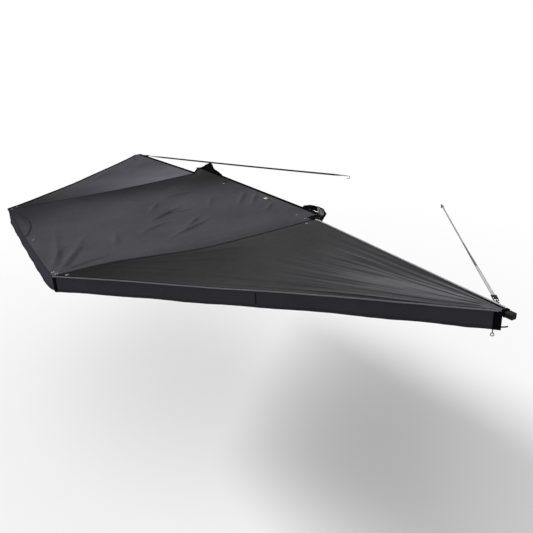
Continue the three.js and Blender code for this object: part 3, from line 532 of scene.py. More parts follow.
# Painted darker towards the edge arm's tip
rear_edge_cloth = cloth_material("rear edge hem", linear(64, 64, 65), **SEWN, stitches=(0.003, 0.017),
                                 stitch_colour=linear(82, 82, 86),
                                 painted_shading=((0.1, 3.18, 9, 0.55, linear(10, 10, 11)),))
binding_cloth = cloth_material("black binding", linear(15, 15, 17), thread=0.0014, wrinkle=0.0004,
                               wrinkle_size=0.015, stitches=(0.003,), stitch_colour=linear(40, 40, 42))
valance_cloth = cloth_material("valance cloth", linear(56, 55, 61))
hem_cloth = cloth_material("valance hem", linear(50, 49, 54), **HEM, stitches=(0.003, 0.013),
                           stitch_colour=linear(60, 59, 64))
dark_hem = cloth_material("valance join", linear(32, 31, 34), **HEM)
piping_cloth = cloth_material("piping", linear(116, 114, 122), **NARROW)
tab_cloth = cloth_material("pale tab", linear(206, 198, 186), **NARROW)
bead_trim = cloth_material("pale bead", linear(172, 172, 175), thread=0.0012, wrinkle=0.0002,
                           wrinkle_size=0.01, drift=0.2)
cover_cloth = cloth_material("cover cloth", linear(20, 20, 22), **COVER, thread=0.0013, wrinkle=0.0008)
lining_cloth = cloth_material("cover lining", linear(122, 121, 120), **COVER, thread=0.001, wrinkle=0.004,
                              drift=0.5)
front_belt = belt_material("front strap webbing", linear(20, 20, 22), linear(30, 30, 32))
# The rear webbing has a length painted dark, as painted shade of its rolled underside
rear_belt = belt_material("rear strap webbing", linear(214, 214, 214), linear(104, 104, 106),
                          (linear(66, 66, 68), 0.52, 1.02))
aluminium_x = metal_material("aluminium drawn along x", (0.66, 0.66, 0.67, 1), 0.36, (3, 420, 420))
aluminium_y = metal_material("aluminium drawn along y", (0.66, 0.66, 0.67, 1), 0.36, (420, 3, 420))
steel = metal_material("zinc-plated steel", (0.46, 0.46, 0.47, 1), 0.34, (160, 160, 160), 0.00004, 0.35)
dull_steel = metal_material("blackened eyelets", (0.24, 0.24, 0.25, 1), 0.5, (200, 200, 200), 0.00003)
black_metal = moulded_material("black powder coat", linear(18, 18, 20), 0.5, grain=0.0009)
black_plastic = moulded_material("black moulded plastic", linear(10, 10, 11), 0.5)
rubber = moulded_material("foot rubber", linear(20, 20, 20), 0.8, grain=0.0014, depth=0.00014)

# Cloths that differ between the two ends; a bead and a piping have their radius first
PANEL_CLOTH = {"front": front_cloth, "rear": rear_cloth}
EDGE_CLOTH = {"front": binding_cloth, "rear": rear_edge_cloth}
EDGE_BEAD = {"front": (0.0088, binding_cloth), "rear": (0.0046, bead_trim)}
PIPING = {"front": (0.0080, binding_cloth), "rear": (0.0044, piping_cloth)}


# Rods, blocks and pins

def rod_along(name, points, radius, closed=False, resolution=5):
    curve = bpy.data.curves.new(name, "CURVE")
    curve.dimensions = "3D"
    curve.bevel_depth = radius
    curve.bevel_resolution = resolution
    curve.use_fill_caps = not closed
    spline = curve.splines.new("POLY")
    spline.points.add(len(points) - 1)
    for slot, point in zip(spline.points, points):
        slot.co = (*point, 1)
    spline.use_cyclic_u = closed
    return settle(link_new(name, curve))


def wire_loop(name, corners, radius, closed=True, corner=0.004):
    """A bent rod through the corners, each rounded."""
    corners = [Vector(here) for here in corners]
    points = []
    for i, here in enumerate(corners):
        if not closed and i in (0, len(corners) - 1):
            points.append(here)
            continue
        a, b = (here + (there - here).normalized() * min(corner, (there - here).length / 2.01)
                for there in (corners[i - 1], corners[(i + 1) % len(corners)]))
        points += [a.lerp(here, t).lerp(here.lerp(b, t), t) for t in (0, 0.25, 0.5, 0.75, 1)]
    return rod_along(name, points, radius, closed)


def rounded_block(name, low, high, bevel):
    centre = [(a + b) / 2 for a, b in zip(low, high)]
    block = settle(make(name, bpy.ops.mesh.primitive_cube_add, size=1, location=centre,
                        scale=[b - a for a, b in zip(low, high)]))
    return finish_with(block, "BEVEL", width=bevel, segments=3, limit_method="ANGLE")


def pin(name, centre, radius, length, axis="z", sides=24):
    turn = {"x": (0, pi / 2, 0), "y": (pi / 2, 0, 0), "z": (0, 0, 0)}[axis]
    rod = settle(make(name, bpy.ops.mesh.primitive_cylinder_add, vertices=sides, radius=radius, depth=length,
                      location=centre, rotation=turn))
    return finish_with(rod, "BEVEL", width=radius * 0.18, segments=2, limit_method="ANGLE")


# Straps from the edge arms to the far side of the rack

def strap_place(end):
    """A strap's own frame: along it from the arm's lug, across it, and up."""
    along = (HOOK[end] - LUG[end]).normalized()
    across = UP.cross(along).normalized()
    return Matrix.Translation(LUG[end]) @ Matrix((along, across, along.cross(across))).transposed().to_4x4()


def place_on_strap(piece, end):
    settle(piece).data.transform(strap_place(end))
    return piece


def strap_run(end, start, finish):
    """The webbing along the strap's line, rolled about its own length, and its middle line."""
    turn, roll_from, roll_over = STRAP_ROLL[end]
    length, steps = finish - start, 36
    shares = [i / steps for i in range(steps + 1)]
    centre = [Vector((start + length * s, 0, -STRAP_SAG * 4 * s * (1 - s))) for s in shares]
    band = make(f"{end}_webbing", bpy.ops.mesh.primitive_grid_add, x_subdivisions=144, y_subdivisions=4,
                size=2)
    spread = []
    for vertex in band.data.vertices:
        s, across = (vertex.co.x + 1) / 2, vertex.co.y
        spread.append((s * length, (across + 1) / 2 * WEBBING_WIDTH))
        step = min(int(s * steps), steps - 1)
        point = centre[step].lerp(centre[step + 1], s * steps - step)
        lean = radians(turn) * smooth((s - roll_from) / roll_over) * smooth((1 - s) / ROLL_END)
        wide = across * WEBBING_WIDTH / 2
        vertex.co = point + Vector((0, wide * cos(lean), wide * sin(lean)))
    map_cloth(band, lambda i: spread[i])
    finish_with(band, "SOLIDIFY", thickness=CLOTH, offset=0)
    place = strap_place(end)
    band.data.transform(place)
    return soften(band, 50), [place @ p for p in centre]


def strap_buckle(end):
    """A bow shackle on the arm's lug, then a cam buckle whose frame holds the webbing."""
    bow = wire_loop("bow", [(x, 0, z) for x, z in ((-0.006, 0.0058), (0.050, 0.0058), (0.050, -0.0058),
                                                  (-0.006, -0.0058))], 0.0024, closed=False, corner=0.0052)
    bolt = pin("bolt", (0, 0, 0), 0.0036, 0.0150)
    head = pin("head", (0, 0, 0.0082), 0.0062, 0.0030, sides=6)
    ring = wire_loop("ring", [(0.044, -0.013, 0), (0.044, 0.013, 0), (0.078, 0.015, 0), (0.078, -0.015, 0)],
                     0.0026, corner=0.007)
    frame_loop = wire_loop("frame loop", [(0.074, -0.0145, 0), (0.074, 0.0145, 0), (0.127, 0.0145, 0.001),
                                          (0.127, -0.0145, 0.001)], 0.0026)
    cheeks = [rounded_block("cheek", (0.084, y - 0.0015, -0.005), (0.124, y + 0.0015, 0.007), 0.0012)
              for y in (-0.0135, 0.0135)]
    cam = rounded_block("cam", (0.094, -0.0115, -0.001), (0.112, 0.0115, 0.0075), 0.003)
    lever = rounded_block("lever", (0.070, -0.0105, 0.0060), (0.112, 0.0105, 0.0088), 0.0012)
    rib = rounded_block("lever rib", (0.072, -0.008, 0.0084), (0.077, 0.008, 0.0098), 0.0006)
    axle = pin("axle", (0.103, 0, 0.0025), 0.0022, 0.0300, "y")
    buckle = join(f"{end}_buckle", [bow, bolt, head, ring, frame_loop, *cheeks, cam, lever, rib, axle])
    return soften(place_on_strap(buckle, end))


def strap_hook(end, length):
    """A bar for the webbing's sewn loop, and a bent rod with its mouth looking back."""
    start, bow_radius = length - HOOK_PLATE, 0.014
    bar = wire_loop("bar", [(start + 0.003, -0.012, 0), (start + 0.003, 0.012, 0), (start + 0.022, 0.004, 0),
                            (start + 0.022, -0.004, 0)], 0.0024)
    shank_end = length + 0.034
    bend = [(shank_end + bow_radius * sin(pi * t / 10), 0, bow_radius * (cos(pi * t / 10) - 1))
            for t in range(11)]
    rod = wire_loop("rod", [(start + 0.018, 0, 0), (shank_end - 0.012, 0, 0), *bend,
                            (shank_end - 0.012, 0, -0.027), (shank_end - 0.016, 0, -0.0255)],
                    0.0035, closed=False, corner=0.002)
    tip = pin("tip", (shank_end - 0.015, 0, -0.026), 0.0044, 0.008, "x")
    return soften(place_on_strap(join(f"{end}_hook", [bar, rod, tip]), end))


def add_strap(end, belt):
    line = HOOK[end] - LUG[end]
    length = line.length
    band, path = strap_run(end, BUCKLE_LENGTH - 0.004, length - 0.012)
    buckle, hook = strap_buckle(end), strap_hook(end, length)
    sewn_end = rounded_block(f"{end}_sewn_end", (length - 0.062, -0.0100, -0.0022),
                             (length - 0.014, 0.0100, 0.0022), 0.0012)
    place_on_strap(sewn_end, end)
    for piece, material, slot in ((band, belt, "webbing"), (buckle, black_metal, "black_metal"),
                                  (hook, black_metal, "black_metal"), (sewn_end, belt, "webbing")):
        dress(piece, material)
        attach(piece, f"{end}_edge_arm")
        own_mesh(piece)
    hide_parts(f"{end}_strap_webbing")
    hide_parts(f"{end}_strap_buckle")
    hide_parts(f"{end}_strap_hook")
    run = sum((b - a).length for a, b in zip(path, path[1:]))
    tuple(path[0])
    [tuple(p) for p in path]


add_camera()
add_strap("front", front_belt)
add_strap("rear", rear_belt)


# Shape of the canopy

def over_arm(end, distance):
    """Height of the canopy's underside over an arm, at a level distance from its pivot."""
    d = max(distance, 0.0)
    cap = CAP_TOP / cos(DROOP)
    rise = (HUB_COVER - cap) * max(1 - d / ARM_LENGTH, 0.0)
    return LEVEL[end] + cap - d * tan(DROOP) + rise


# Creases of the panels: from, to, width and height, in metres
MIDDLE_CREASES = [
    ((1.12, 0.26), (0.77, 0.03), 0.024, 0.0190),
    ((1.17, 0.89), (0.73, 0.62), 0.024, 0.0171),
    ((0.75, -0.43), (0.50, -0.33), 0.028, 0.0152),
    ((0.97, 0.70), (0.74, 0.46), 0.022, 0.0133),
    ((0.37, 0.49), (0.14, 0.17), 0.021, 0.0133),
    ((0.29, 0.59), (0.05, 0.25), 0.019, 0.0114),
    ((0.28, 0.84), (0.13, 0.68), 0.018, 0.0114),
    ((2.12, 1.02), (1.95, 0.46), 0.024, 0.0152),
    ((2.07, 1.08), (1.78, 0.51), 0.022, 0.0152),
    ((1.49, 0.42), (1.57, 0.72), 0.024, 0.0114),
    ((2.10, 1.09), (1.68, 0.95), 0.021, 0.0133),
    ((2.09, -0.97), (2.06, -0.26), 0.019, 0.0095),
    ((2.07, 1.04), (1.88, -0.10), 0.026, 0.0110),
    ((2.04, 0.98), (1.72, 0.30), 0.030, 0.0100),
    ((1.02, -0.05), (0.86, -0.32), 0.022, 0.0120),
    ((0.92, 0.12), (0.70, 0.20), 0.022, 0.0110),
    ((1.30, 0.55), (1.02, 0.40), 0.024, 0.0120),
    ((0.58, 0.30), (0.42, 0.02), 0.022, 0.0100),
    ((1.62, -0.80), (1.20, -0.30), 0.048, 0.0114),
]
RIDGES = {
    "front": [
        ((0.60, -2.30), (0.24, -3.00), 0.036, 0.0070),
        ((1.30, -1.70), (0.45, -2.75), 0.045, 0.0070),
        ((0.35, -1.50), (0.80, -1.90), 0.045, 0.0056),
    ],
    "rear": [
        ((0.28, 1.69), (0.23, 2.34), 0.021, 0.0090),
        ((0.45, 2.06), (0.26, 2.80), 0.022, 0.0090),
        ((1.78, 1.30), (1.30, 1.70), 0.032, 0.0090),
        ((1.72, 1.23), (1.14, 1.78), 0.018, 0.0065),
        ((1.62, 1.24), (0.96, 1.60), 0.018, 0.0065),
        ((1.46, 1.27), (0.80, 1.46), 0.018, 0.0055),
        ((1.30, 1.62), (0.90, 2.20), 0.022, 0.0060),
    ],
}
# Pleats that fan out from each edge arm's tip: share of the way in from the hem, width as such a share,
# height, and how far they reach
PLEATS = {
    "front": [(0.80, 0.035, 0.006, 0.45), (0.58, 0.035, 0.007, 0.50), (0.36, 0.035, 0.006, 0.60)],
    "rear": [(0.84, 0.022, 0.014, 0.50), (0.67, 0.024, 0.024, 0.62), (0.49, 0.022, 0.022, 0.60),
             (0.36, 0.020, 0.018, 0.80), (0.21, 0.020, 0.022, 0.95), (0.09, 0.015, 0.013, 1.10)],
}


def crease_lift(x, y, creases):
    lift = 0.0
    for a, b, width, height in creases:
        off, along = to_segment(x, y, a, b)
        if off < 3 * width:
            lift += height * bell(off / width) * sin(pi * (0.08 + 0.84 * along))
    return lift


def seam_reach(end, x):
    """How much of its shift a seam has. The rear one starts past its hub, and both end in the corner."""
    if end == "front":
        return sin(pi * clamp((x - EDGE_X) / (CORNER_X - EDGE_X)))
    return (0.55 + 0.45 * smooth((x - CANOPY_BACK) / 0.10)) * (1 - smooth((x - 0.95) / 0.95))


def seam_y(end, x):
    """The seam between two panels lies beside its arm, pulled towards the rear."""
    return SIDE[end] * HALF_HUBS + SEAM_SHIFT[end] * seam_reach(end, x)


def seam_dip(x, y):
    return sum(SEAM_DIP[end] * seam_reach(end, x) * bell((y - seam_y(end, x)) / 0.050) for end in SIDE)


def middle_height(x, y):
    """Height of the middle panel's top between the two outer arms."""
    across = clamp(y / (2 * HALF_HUBS - STRIP_Y), -1.0)
    d = x - LANE_INNER
    level = (over_arm("front", d) * (1 - across) + over_arm("rear", d) * (1 + across)) / 2
    pull = smooth((HALF_HUBS - abs(y)) / MIDDLE_PULL)
    fall = (EDGE_X - WEB_EDGE) * (1 - pull) + MIDDLE_FALL * pull
    level += (CANOPY_BASE - level) * (1 - smooth((x - WEB_EDGE) / fall))
    droop = smooth((x - RAIL_DEPTH) / SAG_REACH) * (1 - across ** 2)
    free = smooth((x - WEB_EDGE) / 0.06) * smooth((1 - abs(across)) / 0.06)
    slow = 0.006 * uneven(x * 1.6, y * 1.6, 2.0) + 0.0016 * uneven(x * 9, y * 9, 5.0)
    return level + FABRIC + droop * -MIDDLE_SAG + free * (crease_lift(x, y, MIDDLE_CREASES) + slow)


def triangle_plan(end, ray, across):
    """Plan of a triangular panel: rays run from the edge arm's tip to the seam, across from the hem inwards.
    Past 1, across is the strip that lies on the arm."""
    reach_x = CORNER_X - STRIP_X
    reach_y = CORNER_Y - HALF_HUBS - SEAM_GAP
    fan = min(across, 1.0)
    bow = HEM_BOW[end] * 4 * ray * (1 - ray) * (1 - fan) ** 3 / hypot(reach_x, reach_y)
    x = EDGE_X if across > 1 else STRIP_X + reach_x * (1 - fan) * ray - bow * reach_y
    return x, CORNER_Y - reach_y * ray - bow * reach_x, fan


def triangle_height(end, x, y, ray, fan):
    """Height of a triangular panel's top; y counts from the middle, whichever the end."""
    a = max(x - STRIP_X, 0.0)
    b = max(y - STRIP_Y, 0.0)
    share = b / (a + b) if a + b > 0 else 0.5
    over_outer = over_arm(end, a + b + min(x, STRIP_X) - LANE_INNER)
    over_edge = over_arm(end, a + b + min(y, STRIP_Y) - HALF_HUBS - STAGGER)
    level = over_outer * (1 - share) + over_edge * share
    level += (CANOPY_BASE - level) * (1 - smooth((x - WEB_EDGE) / (EDGE_X - WEB_EDGE)))
    droop = 4 * share * (1 - share) * smooth((a + b) / SAG_REACH)
    free = smooth(a / 0.05) * smooth(b / 0.05)
    ridges = crease_lift(x, SIDE[end] * y, RIDGES[end])
    for at, width, height, reach in PLEATS[end]:
        ridges += height * min(ray / 0.30, 1.0) * (1 - smooth(ray / reach)) * bell((fan - at) / width)
    slow = 0.005 * uneven(x * 1.8, y * 1.8, 7.0) + 0.0014 * uneven(x * 9, y * 9, 3.0)
    return level + FABRIC - TRIANGLE_SAG * droop + free * (ridges + slow)


def on_canopy(x, y, ray=None, fan=None):
    """The point of the canopy's top over a place, whichever panel is there."""
    if abs(y) <= HALF_HUBS:
        return Vector((x, y, middle_height(x, y) - seam_dip(x, y)))
    if ray is None:
        ray = (CORNER_Y - abs(y)) / (CORNER_Y - HALF_HUBS)
        fan = min(1 - (x - STRIP_X) / ((CORNER_X - STRIP_X) * ray), 1.0)
    end = "rear" if y > 0 else "front"
    return Vector((x, y, triangle_height(end, x, abs(y), ray, fan) - seam_dip(x, y)))


def middle_point(along, out):
    """A point of the middle panel's top: along from the front seam to the rear one, out from the rail."""
    x = CANOPY_BACK + (CORNER_X - CANOPY_BACK) * out
    low, high = seam_y("front", x) + SEAM_GAP, seam_y("rear", x) - SEAM_GAP
    return on_canopy(x, low + (high - low) * along)


def triangle_point(end, ray, across):
    x, y, fan = triangle_plan(end, ray, across)
    shift = (seam_y(end, x) - SIDE[end] * HALF_HUBS) * ray ** 5
    return on_canopy(x, SIDE[end] * y + shift, ray, fan)


# Lines along the canopy: each gives a point for a share of its length, and the direction across it

def back_line(x, length):
    return lambda s: (Vector((x, BACK_START + length * s, CANOPY_BASE + FABRIC)), OUT)


def hem_line(end, start=TIP_SHARE, length=1 - TIP_SHARE, across=0):
    outward = Vector((CORNER_Y - HALF_HUBS, SIDE[end] * (CORNER_X - STRIP_X), 0)).normalized()
    return lambda s: (triangle_point(end, start + length * s, across), outward)


def side_line(s):
    return middle_point(s, 1.0), OUT


def patch_line(s):
    """A seam that bows in from the side, by the front corner."""
    x = CORNER_X - 0.008 - 0.105 * sin(pi * s) ** 0.8
    return on_canopy(x, -1.09 + 0.98 * s), Vector((1, 0.35 * cos(pi * s), 0)).normalized()


# Sheets, tapes and piping

def plan_uv(first, second, co):
    return (co.x, co.y)


def wall_uv(first, second, co):
    return (co.y, co.z)


def along_uv(length, width):
    return lambda first, second, co: (first * length, second * width)


def down_uv(length, width):
    return lambda first, second, co: (second * length, first * width)


def cloth_sheet(name, columns, rows, point_at, uv_at, outward, material, thickness=CLOTH, offset=0):
    """A grid bent to the cloth's shape, its UV map in metres and its faces outward, given its thickness."""
    piece = make(name, bpy.ops.mesh.primitive_grid_add, x_subdivisions=columns, y_subdivisions=rows, size=2)
    vertices = piece.data.vertices
    shares = [((v.co.x + 1) / 2, (v.co.y + 1) / 2) for v in vertices]
    for vertex, share in zip(vertices, shares):
        vertex.co = point_at(*share)
    map_cloth(piece, lambda i: uv_at(*shares[i], vertices[i].co))
    facing = sum((face.normal * face.area for face in piece.data.polygons), Vector((0, 0, 0)))
    if facing.dot(Vector(outward)) < 0:
        piece.data.flip_normals()
    finish_with(piece, "SOLIDIFY", thickness=thickness, offset=offset)
    return dress(soften(piece, 60), material)


def strip_along(name, steps, across_steps, line, width, lift, material):
    """A tape laid along a line, a little arched."""
    points = [line(i / steps) for i in range(steps + 1)]
    run = [0.0]
    for (a, _), (b, _) in zip(points, points[1:]):
        run.append(run[-1] + (b - a).length)

    def point_at(first, second):
        middle, across = points[round(first * steps)]
        arch = TAPE_CROWN * (1 - (2 * second - 1) ** 2)
        return middle + across * width * (second - 0.5) + UP * (lift + arch)

    def uv_at(first, second, co):
        return (run[round(first * steps)], second * width)

    return cloth_sheet(name, steps, across_steps, point_at, uv_at, UP, material, TAPE, offset=-1)


def add_piping(name, line, gather, radius, material, out=0.0, lift=0.0, low=0.0, high=1.0):
    """A round cord along a line, out from it and above it."""
    count = 150
    points = []
    for i in range(count + 1):
        p, outward = line(low + (high - low) * i / count)
        points.append(p + outward * out + Vector((0, 0, lift)))
    tube = rod_along(name, points, radius, resolution=3)
    vertices = tube.data.vertices
    map_cloth(tube, lambda i: (hypot(vertices[i].co.x, vertices[i].co.y), vertices[i].co.z))
    dress(soften(tube, 60), material)
    carry([tube], gather)
    return tube


# The carriers: the middle panel goes with the rail, and each triangle with its edge arm. A valance hangs past
# the buckles and hubs that the two arms carry

def on_rail(piece):
    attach(piece, "rail")


def gather_on_rail(piece):
    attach(piece, "rail")
    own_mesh(piece)


def on_arm(end):
    return lambda piece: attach(piece, f"{end}_edge_arm")


def beside_arm(end):
    """A way to hand a piece to an edge arm, with a mesh of its own."""

    def gather(piece):
        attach(piece, f"{end}_edge_arm")
        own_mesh(piece)

    return gather


gather_on_arm = {end: beside_arm(end) for end in SIDE}
hang_beside_arm = {end: beside_arm(end) for end in SIDE}


def add_middle():
    """The middle panel and what is sewn to it, and the bar that clamps it to the rail's rear end."""
    middle = cloth_sheet("canopy_middle_cloth", 150, 140, middle_point, plan_uv, UP, middle_cloth, offset=-1)
    start, finish = 0.034, CORNER_X - 0.020
    seams = []
    for end in SIDE:
        def seam_line(s):
            x = start + (finish - start) * s
            slope = (seam_y(end, x + 0.01) - seam_y(end, x - 0.01)) / 0.02
            return on_canopy(x, seam_y(end, x)), Vector((-slope, 1, 0)).normalized()

        seams.append(strip_along(f"{end}_seam_tape", 160, 4, seam_line, 0.022, 0.0022, canopy_tape))
    back = strip_along("back_binding", 160, 3, back_line(0.021, 2.368), 0.022, 0.0018, binding_cloth)
    seams.append(strip_along("side_patch_tape", 120, 3, patch_line, 0.014, 0.0018, canopy_tape))
    rope = add_piping("back_rope", back_line(0.012, 2.380), gather_on_rail, 0.0050, binding_cloth, lift=0.004)
    bar = rounded_block("rear_clamp_bar", (0.0015, 1.098, RAIL_TOP), (0.0065, 1.244, RAIL_TOP + 0.0165),
                        0.0012)
    dress(soften(bar), aluminium_y)
    carry([bar], on_rail)
    carry((middle, back, *seams), gather_on_rail)
    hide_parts("canopy_middle")


def add_triangle(end):
    """A triangular panel, its edge's binding and bead, and the groove beside its hem."""
    def panel_point(first, second):
        across = second * 1.04
        if across > 1:
            across = 1 + (across - 1) / 0.04
        return triangle_point(end, TIP_SHARE + (1 - TIP_SHARE) * first, across)

    def edge_line(s):
        p = triangle_point(end, TIP_SHARE + 0.004 + (0.985 - TIP_SHARE) * s, 2)
        return Vector((EDGE_X + 0.010, p.y, p.z)), OUT

    panel = cloth_sheet(f"canopy_{end}_cloth", 130, 130, panel_point, plan_uv, UP, PANEL_CLOTH[end],
                        offset=-1)
    edge = strip_along(f"{end}_edge_binding", 150, 3, edge_line, 0.020, 0.0018, EDGE_CLOTH[end])
    bead = add_piping(f"{end}_edge_bead", edge_line, gather_on_arm[end], *EDGE_BEAD[end], out=-0.011,
                      lift=0.003)
    groove = strip_along(f"{end}_hem_groove", 150, 3, hem_line(end, TIP_SHARE + 0.005, 0.98, 0.006), 0.011,
                         0.0016, binding_cloth)
    carry((panel, edge, groove), gather_on_arm[end])
    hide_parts(f"canopy_{end}")


# Valances and the piping over them

def add_valance(where, line, low, high, ripples, depth, gather, length, flare=0.0):
    """A valance and its hem; its shape comes back too, for what is sewn to it."""
    out = line(0.5)[1]

    def shape(first, second):
        p, outward = line(low + (high - low) * first)
        top = p - UP * VALANCE_TOP
        swing = depth * second ** 1.3 * sin(first * ripples * 2 * pi + 0.6 * sin(first * 9))
        pleat = 0.0022 * second * uneven(first * 46, second * 2, ripples)
        drop = VALANCE_HEIGHT * second - 0.001 * second * uneven(first * 21, 4, ripples)
        away = flare * second * (1 + first) * smooth(first / 0.05) * smooth((1 - first) / 0.07)
        return top + outward * (swing + pleat - 0.004 + away) - Vector((0, 0, drop))

    def hem_at(first, second):
        return shape(first, 0.86 + 0.135 * second) + line(low + (high - low) * first)[1] * 0.0022

    cloth = cloth_sheet(f"{where}_valance_cloth", 150, 16, shape, along_uv(length, VALANCE_HEIGHT), out,
                        valance_cloth, 0.0014)
    hem = cloth_sheet(f"{where}_valance_hem", 150, 3, hem_at, along_uv(length, 0.016), out, hem_cloth, TAPE)
    carry((cloth, hem), gather)
    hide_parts(f"valance_{where}")
    return cloth, hem, shape


def add_end_valance(end):
    line, gather = hem_line(end), hang_beside_arm[end]
    cloth, hem, shape = add_valance(end, line, 0.0, 0.9985, RIPPLES[end], 0.005, gather, END_LENGTH)
    tip_out, middle_out = line(0.0)[1], line(0.5)[1]

    def band_at(first, second):
        return shape(0.0, second).lerp(shape(0.0085, second), 1.9 * first - 0.9) + tip_out * 0.003

    def join_at(first, second):
        return shape(0.4985 + 0.003 * first, 0.12 + 0.66 * second) + middle_out * 0.0022

    band = cloth_sheet(f"{end}_valance_end_band", 5, 12, band_at, down_uv(VALANCE_HEIGHT, 0.046), tip_out,
                       binding_cloth)
    seam = cloth_sheet(f"{end}_valance_join", 3, 10, join_at, down_uv(0.076, 0.009), middle_out, dark_hem,
                       0.0010)
    carry((band, seam), gather)
    piping = add_piping(f"{end}_piping", line, gather, *PIPING[end], out=0.0044, high=0.999)


def add_side_valance():
    cloth, hem, shape = add_valance("side", side_line, 0.0006, 0.9994, RIPPLES["side"], 0.0022,
                                    gather_on_rail, SIDE_LENGTH, 0.011)
    piping = add_piping("side_piping", side_line, gather_on_rail, 0.0040, canopy_tape, out=0.0036, low=0.0005,
                        high=0.9995)
    corners = []
    for end, side in SIDE.items():
        outward = hem_line(end)(1.0)[1]

        def corner_at(first, second):
            turn = (2 * first - 1) * side
            reach = Vector((0, 0.024, 0)) if first < 0.5 else Vector((-outward.y, outward.x, 0)) * 0.020
            return shape((1 + side) / 2, second) + OUT * 0.0030 + reach * turn

        corners.append(cloth_sheet(f"{end}_corner_binding", 8, 12, corner_at, down_uv(VALANCE_HEIGHT, 0.044),
                                   OUT, binding_cloth, 0.0014))
    carry(corners, gather_on_rail)


# Eyelets, tabs and the guy ring

MIDDLE_EYELETS = [(2.112, 1.060), (2.098, 1.124), (2.086, 0.050), (2.098, -1.124), (0.150, 1.130),
                  (0.148, 1.252), (0.140, -0.280)]
END_EYELETS = [("rear", 0.196, 1.345), ("rear", 2.040, 1.190), ("front", 0.150, 1.240),
               ("front", 2.040, 1.190)]


def add_eyelet(name, x, y, gather):
    """A pressed metal ring with a dark hole in it, lying on the cloth."""
    radius, normal = 0.0085, Vector((0.03, 0, 1))
    place = on_canopy(x, y) + UP * CLOTH
    turn = UP.rotation_difference(normal).to_matrix().to_4x4()
    ring = settle(make(name, bpy.ops.mesh.primitive_torus_add, major_radius=radius, minor_radius=0.0024,
                       major_segments=32, minor_segments=10))
    for vertex in ring.data.vertices:
        vertex.co.z *= 0.55
    ring.data.transform(Matrix.Translation(place) @ turn)
    hole = settle(make(name + "_hole", bpy.ops.mesh.primitive_circle_add, vertices=32, radius=radius * 0.9,
                       fill_type="NGON"))
    hole.data.transform(Matrix.Translation(place + normal * 0.0003) @ turn)
    finish_with(hole, "SOLIDIFY", thickness=0.0004, offset=0)
    dress(soften(ring), dull_steel)
    dress(hole, rubber)
    carry((ring, hole), gather)


def add_tab(name, x, y, material):
    tab = rounded_block(name, (-0.013, -0.024, 0), (0.013, 0.024, 0.008), 0.003)
    map_cloth(tab, lambda i: tab.data.vertices[i].co.xy)
    tab.data.transform(Matrix.Translation(on_canopy(x, y) + UP * CLOTH))
    dress(soften(tab), material)
    carry([tab], gather_on_rail)


def add_guy_ring():
    low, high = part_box("guy_ring")
    x, y = (low.x + high.x) / 2, (low.y + high.y) / 2
    ring = settle(make("ring", bpy.ops.mesh.primitive_torus_add, major_radius=0.0094, minor_radius=0.0024,
                       major_segments=48, minor_segments=12, location=(x, y, low.z + 0.0120),
                       rotation=(pi / 2, 0, radians(-45))))
    stem = wire_loop("stem", [(x, y, high.z), (x, y, low.z + 0.0260), (x - 0.0035, y, low.z + 0.0205),
                              (x + 0.0035, y, low.z + 0.0205), (x, y, low.z + 0.0262),
                              (x + 0.0006, y, high.z)], 0.0028, closed=False, corner=0.002)
    piece = dress(soften(join("guy_ring_piece", [ring, stem])), black_metal)
    carry([piece], gather_on_arm["rear"])
    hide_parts("guy_ring")


# Cloth at the hubs and the arms' tips

HUB_GUSSET = {"front": (1.128, 0.060), "rear": (1.240, 0.062)}


def add_hub_gusset(end):
    """Reinforced cloth over a hub, between the rail and the seam."""
    start, width = HUB_GUSSET[end]

    def gusset_point(first, second):
        x = 0.004 + 0.116 * first
        y = start + (width + 0.020 * first) * second
        hub = over_arm(end, x - LANE_INNER)
        z = CANOPY_BASE + (hub - CANOPY_BASE) * smooth((x - WEB_EDGE) / (EDGE_X - WEB_EDGE))
        return Vector((x, SIDE[end] * y, z + FABRIC + 0.0014 + 0.001 * uneven(x * 40, y * 40, 2)))

    gusset = cloth_sheet(f"{end}_hub_gusset", 24, 20, gusset_point, plan_uv, UP, cover_cloth, offset=-1)
    carry([gusset], gather_on_rail)


def add_corner_strap(end):
    """A strap round an edge arm's tip holds the canopy's corner, with a peg for its free end. Under the arm
    it narrows, so that the leg can swing out beside it."""
    side = SIDE[end]
    middle = Vector((LANE_OUTER, side * STRAP_Y, LEVEL[end] - (STRAP_Y - HALF_HUBS - STAGGER) * tan(DROOP)))
    half_x, half_z, low_z, high_z, corner = 0.0215, 0.0205, -0.0205, 0.0222, 0.005
    width, under_from, under_width = 0.022, 0.0026, 0.0084

    def round_arm(first, second):
        turn = 2 * pi * first - pi / 2
        reach_x, reach_z = cos(turn), sin(turn)
        square = max(abs(reach_x) / (half_x - corner * 0.3), abs(reach_z) / half_z)
        z = clamp(reach_z / square + 0.001, low_z, high_z)
        under = smooth((-reach_z - 0.35) / 0.30)
        wide = (second - 0.5) * width
        y = side * (wide + (under_from + second * under_width - wide) * under)
        return middle + Vector((reach_x / square, y, z))

    strap = cloth_sheet(f"{end}_corner_strap", 96, 6, round_arm, along_uv(0.16, width), UP, binding_cloth)
    peg = wire_loop(f"{end}_peg", [middle + Vector((x, side * y, z)) for x, y, z in (
        (0.032, 0.002, -0.078), (0.006, 0.015, -0.079), (-0.006, 0.021, -0.077))], 0.0042, closed=False)
    dress(soften(peg), black_plastic)
    carry((strap, peg), on_arm(end))


# Travel cover and its flaps

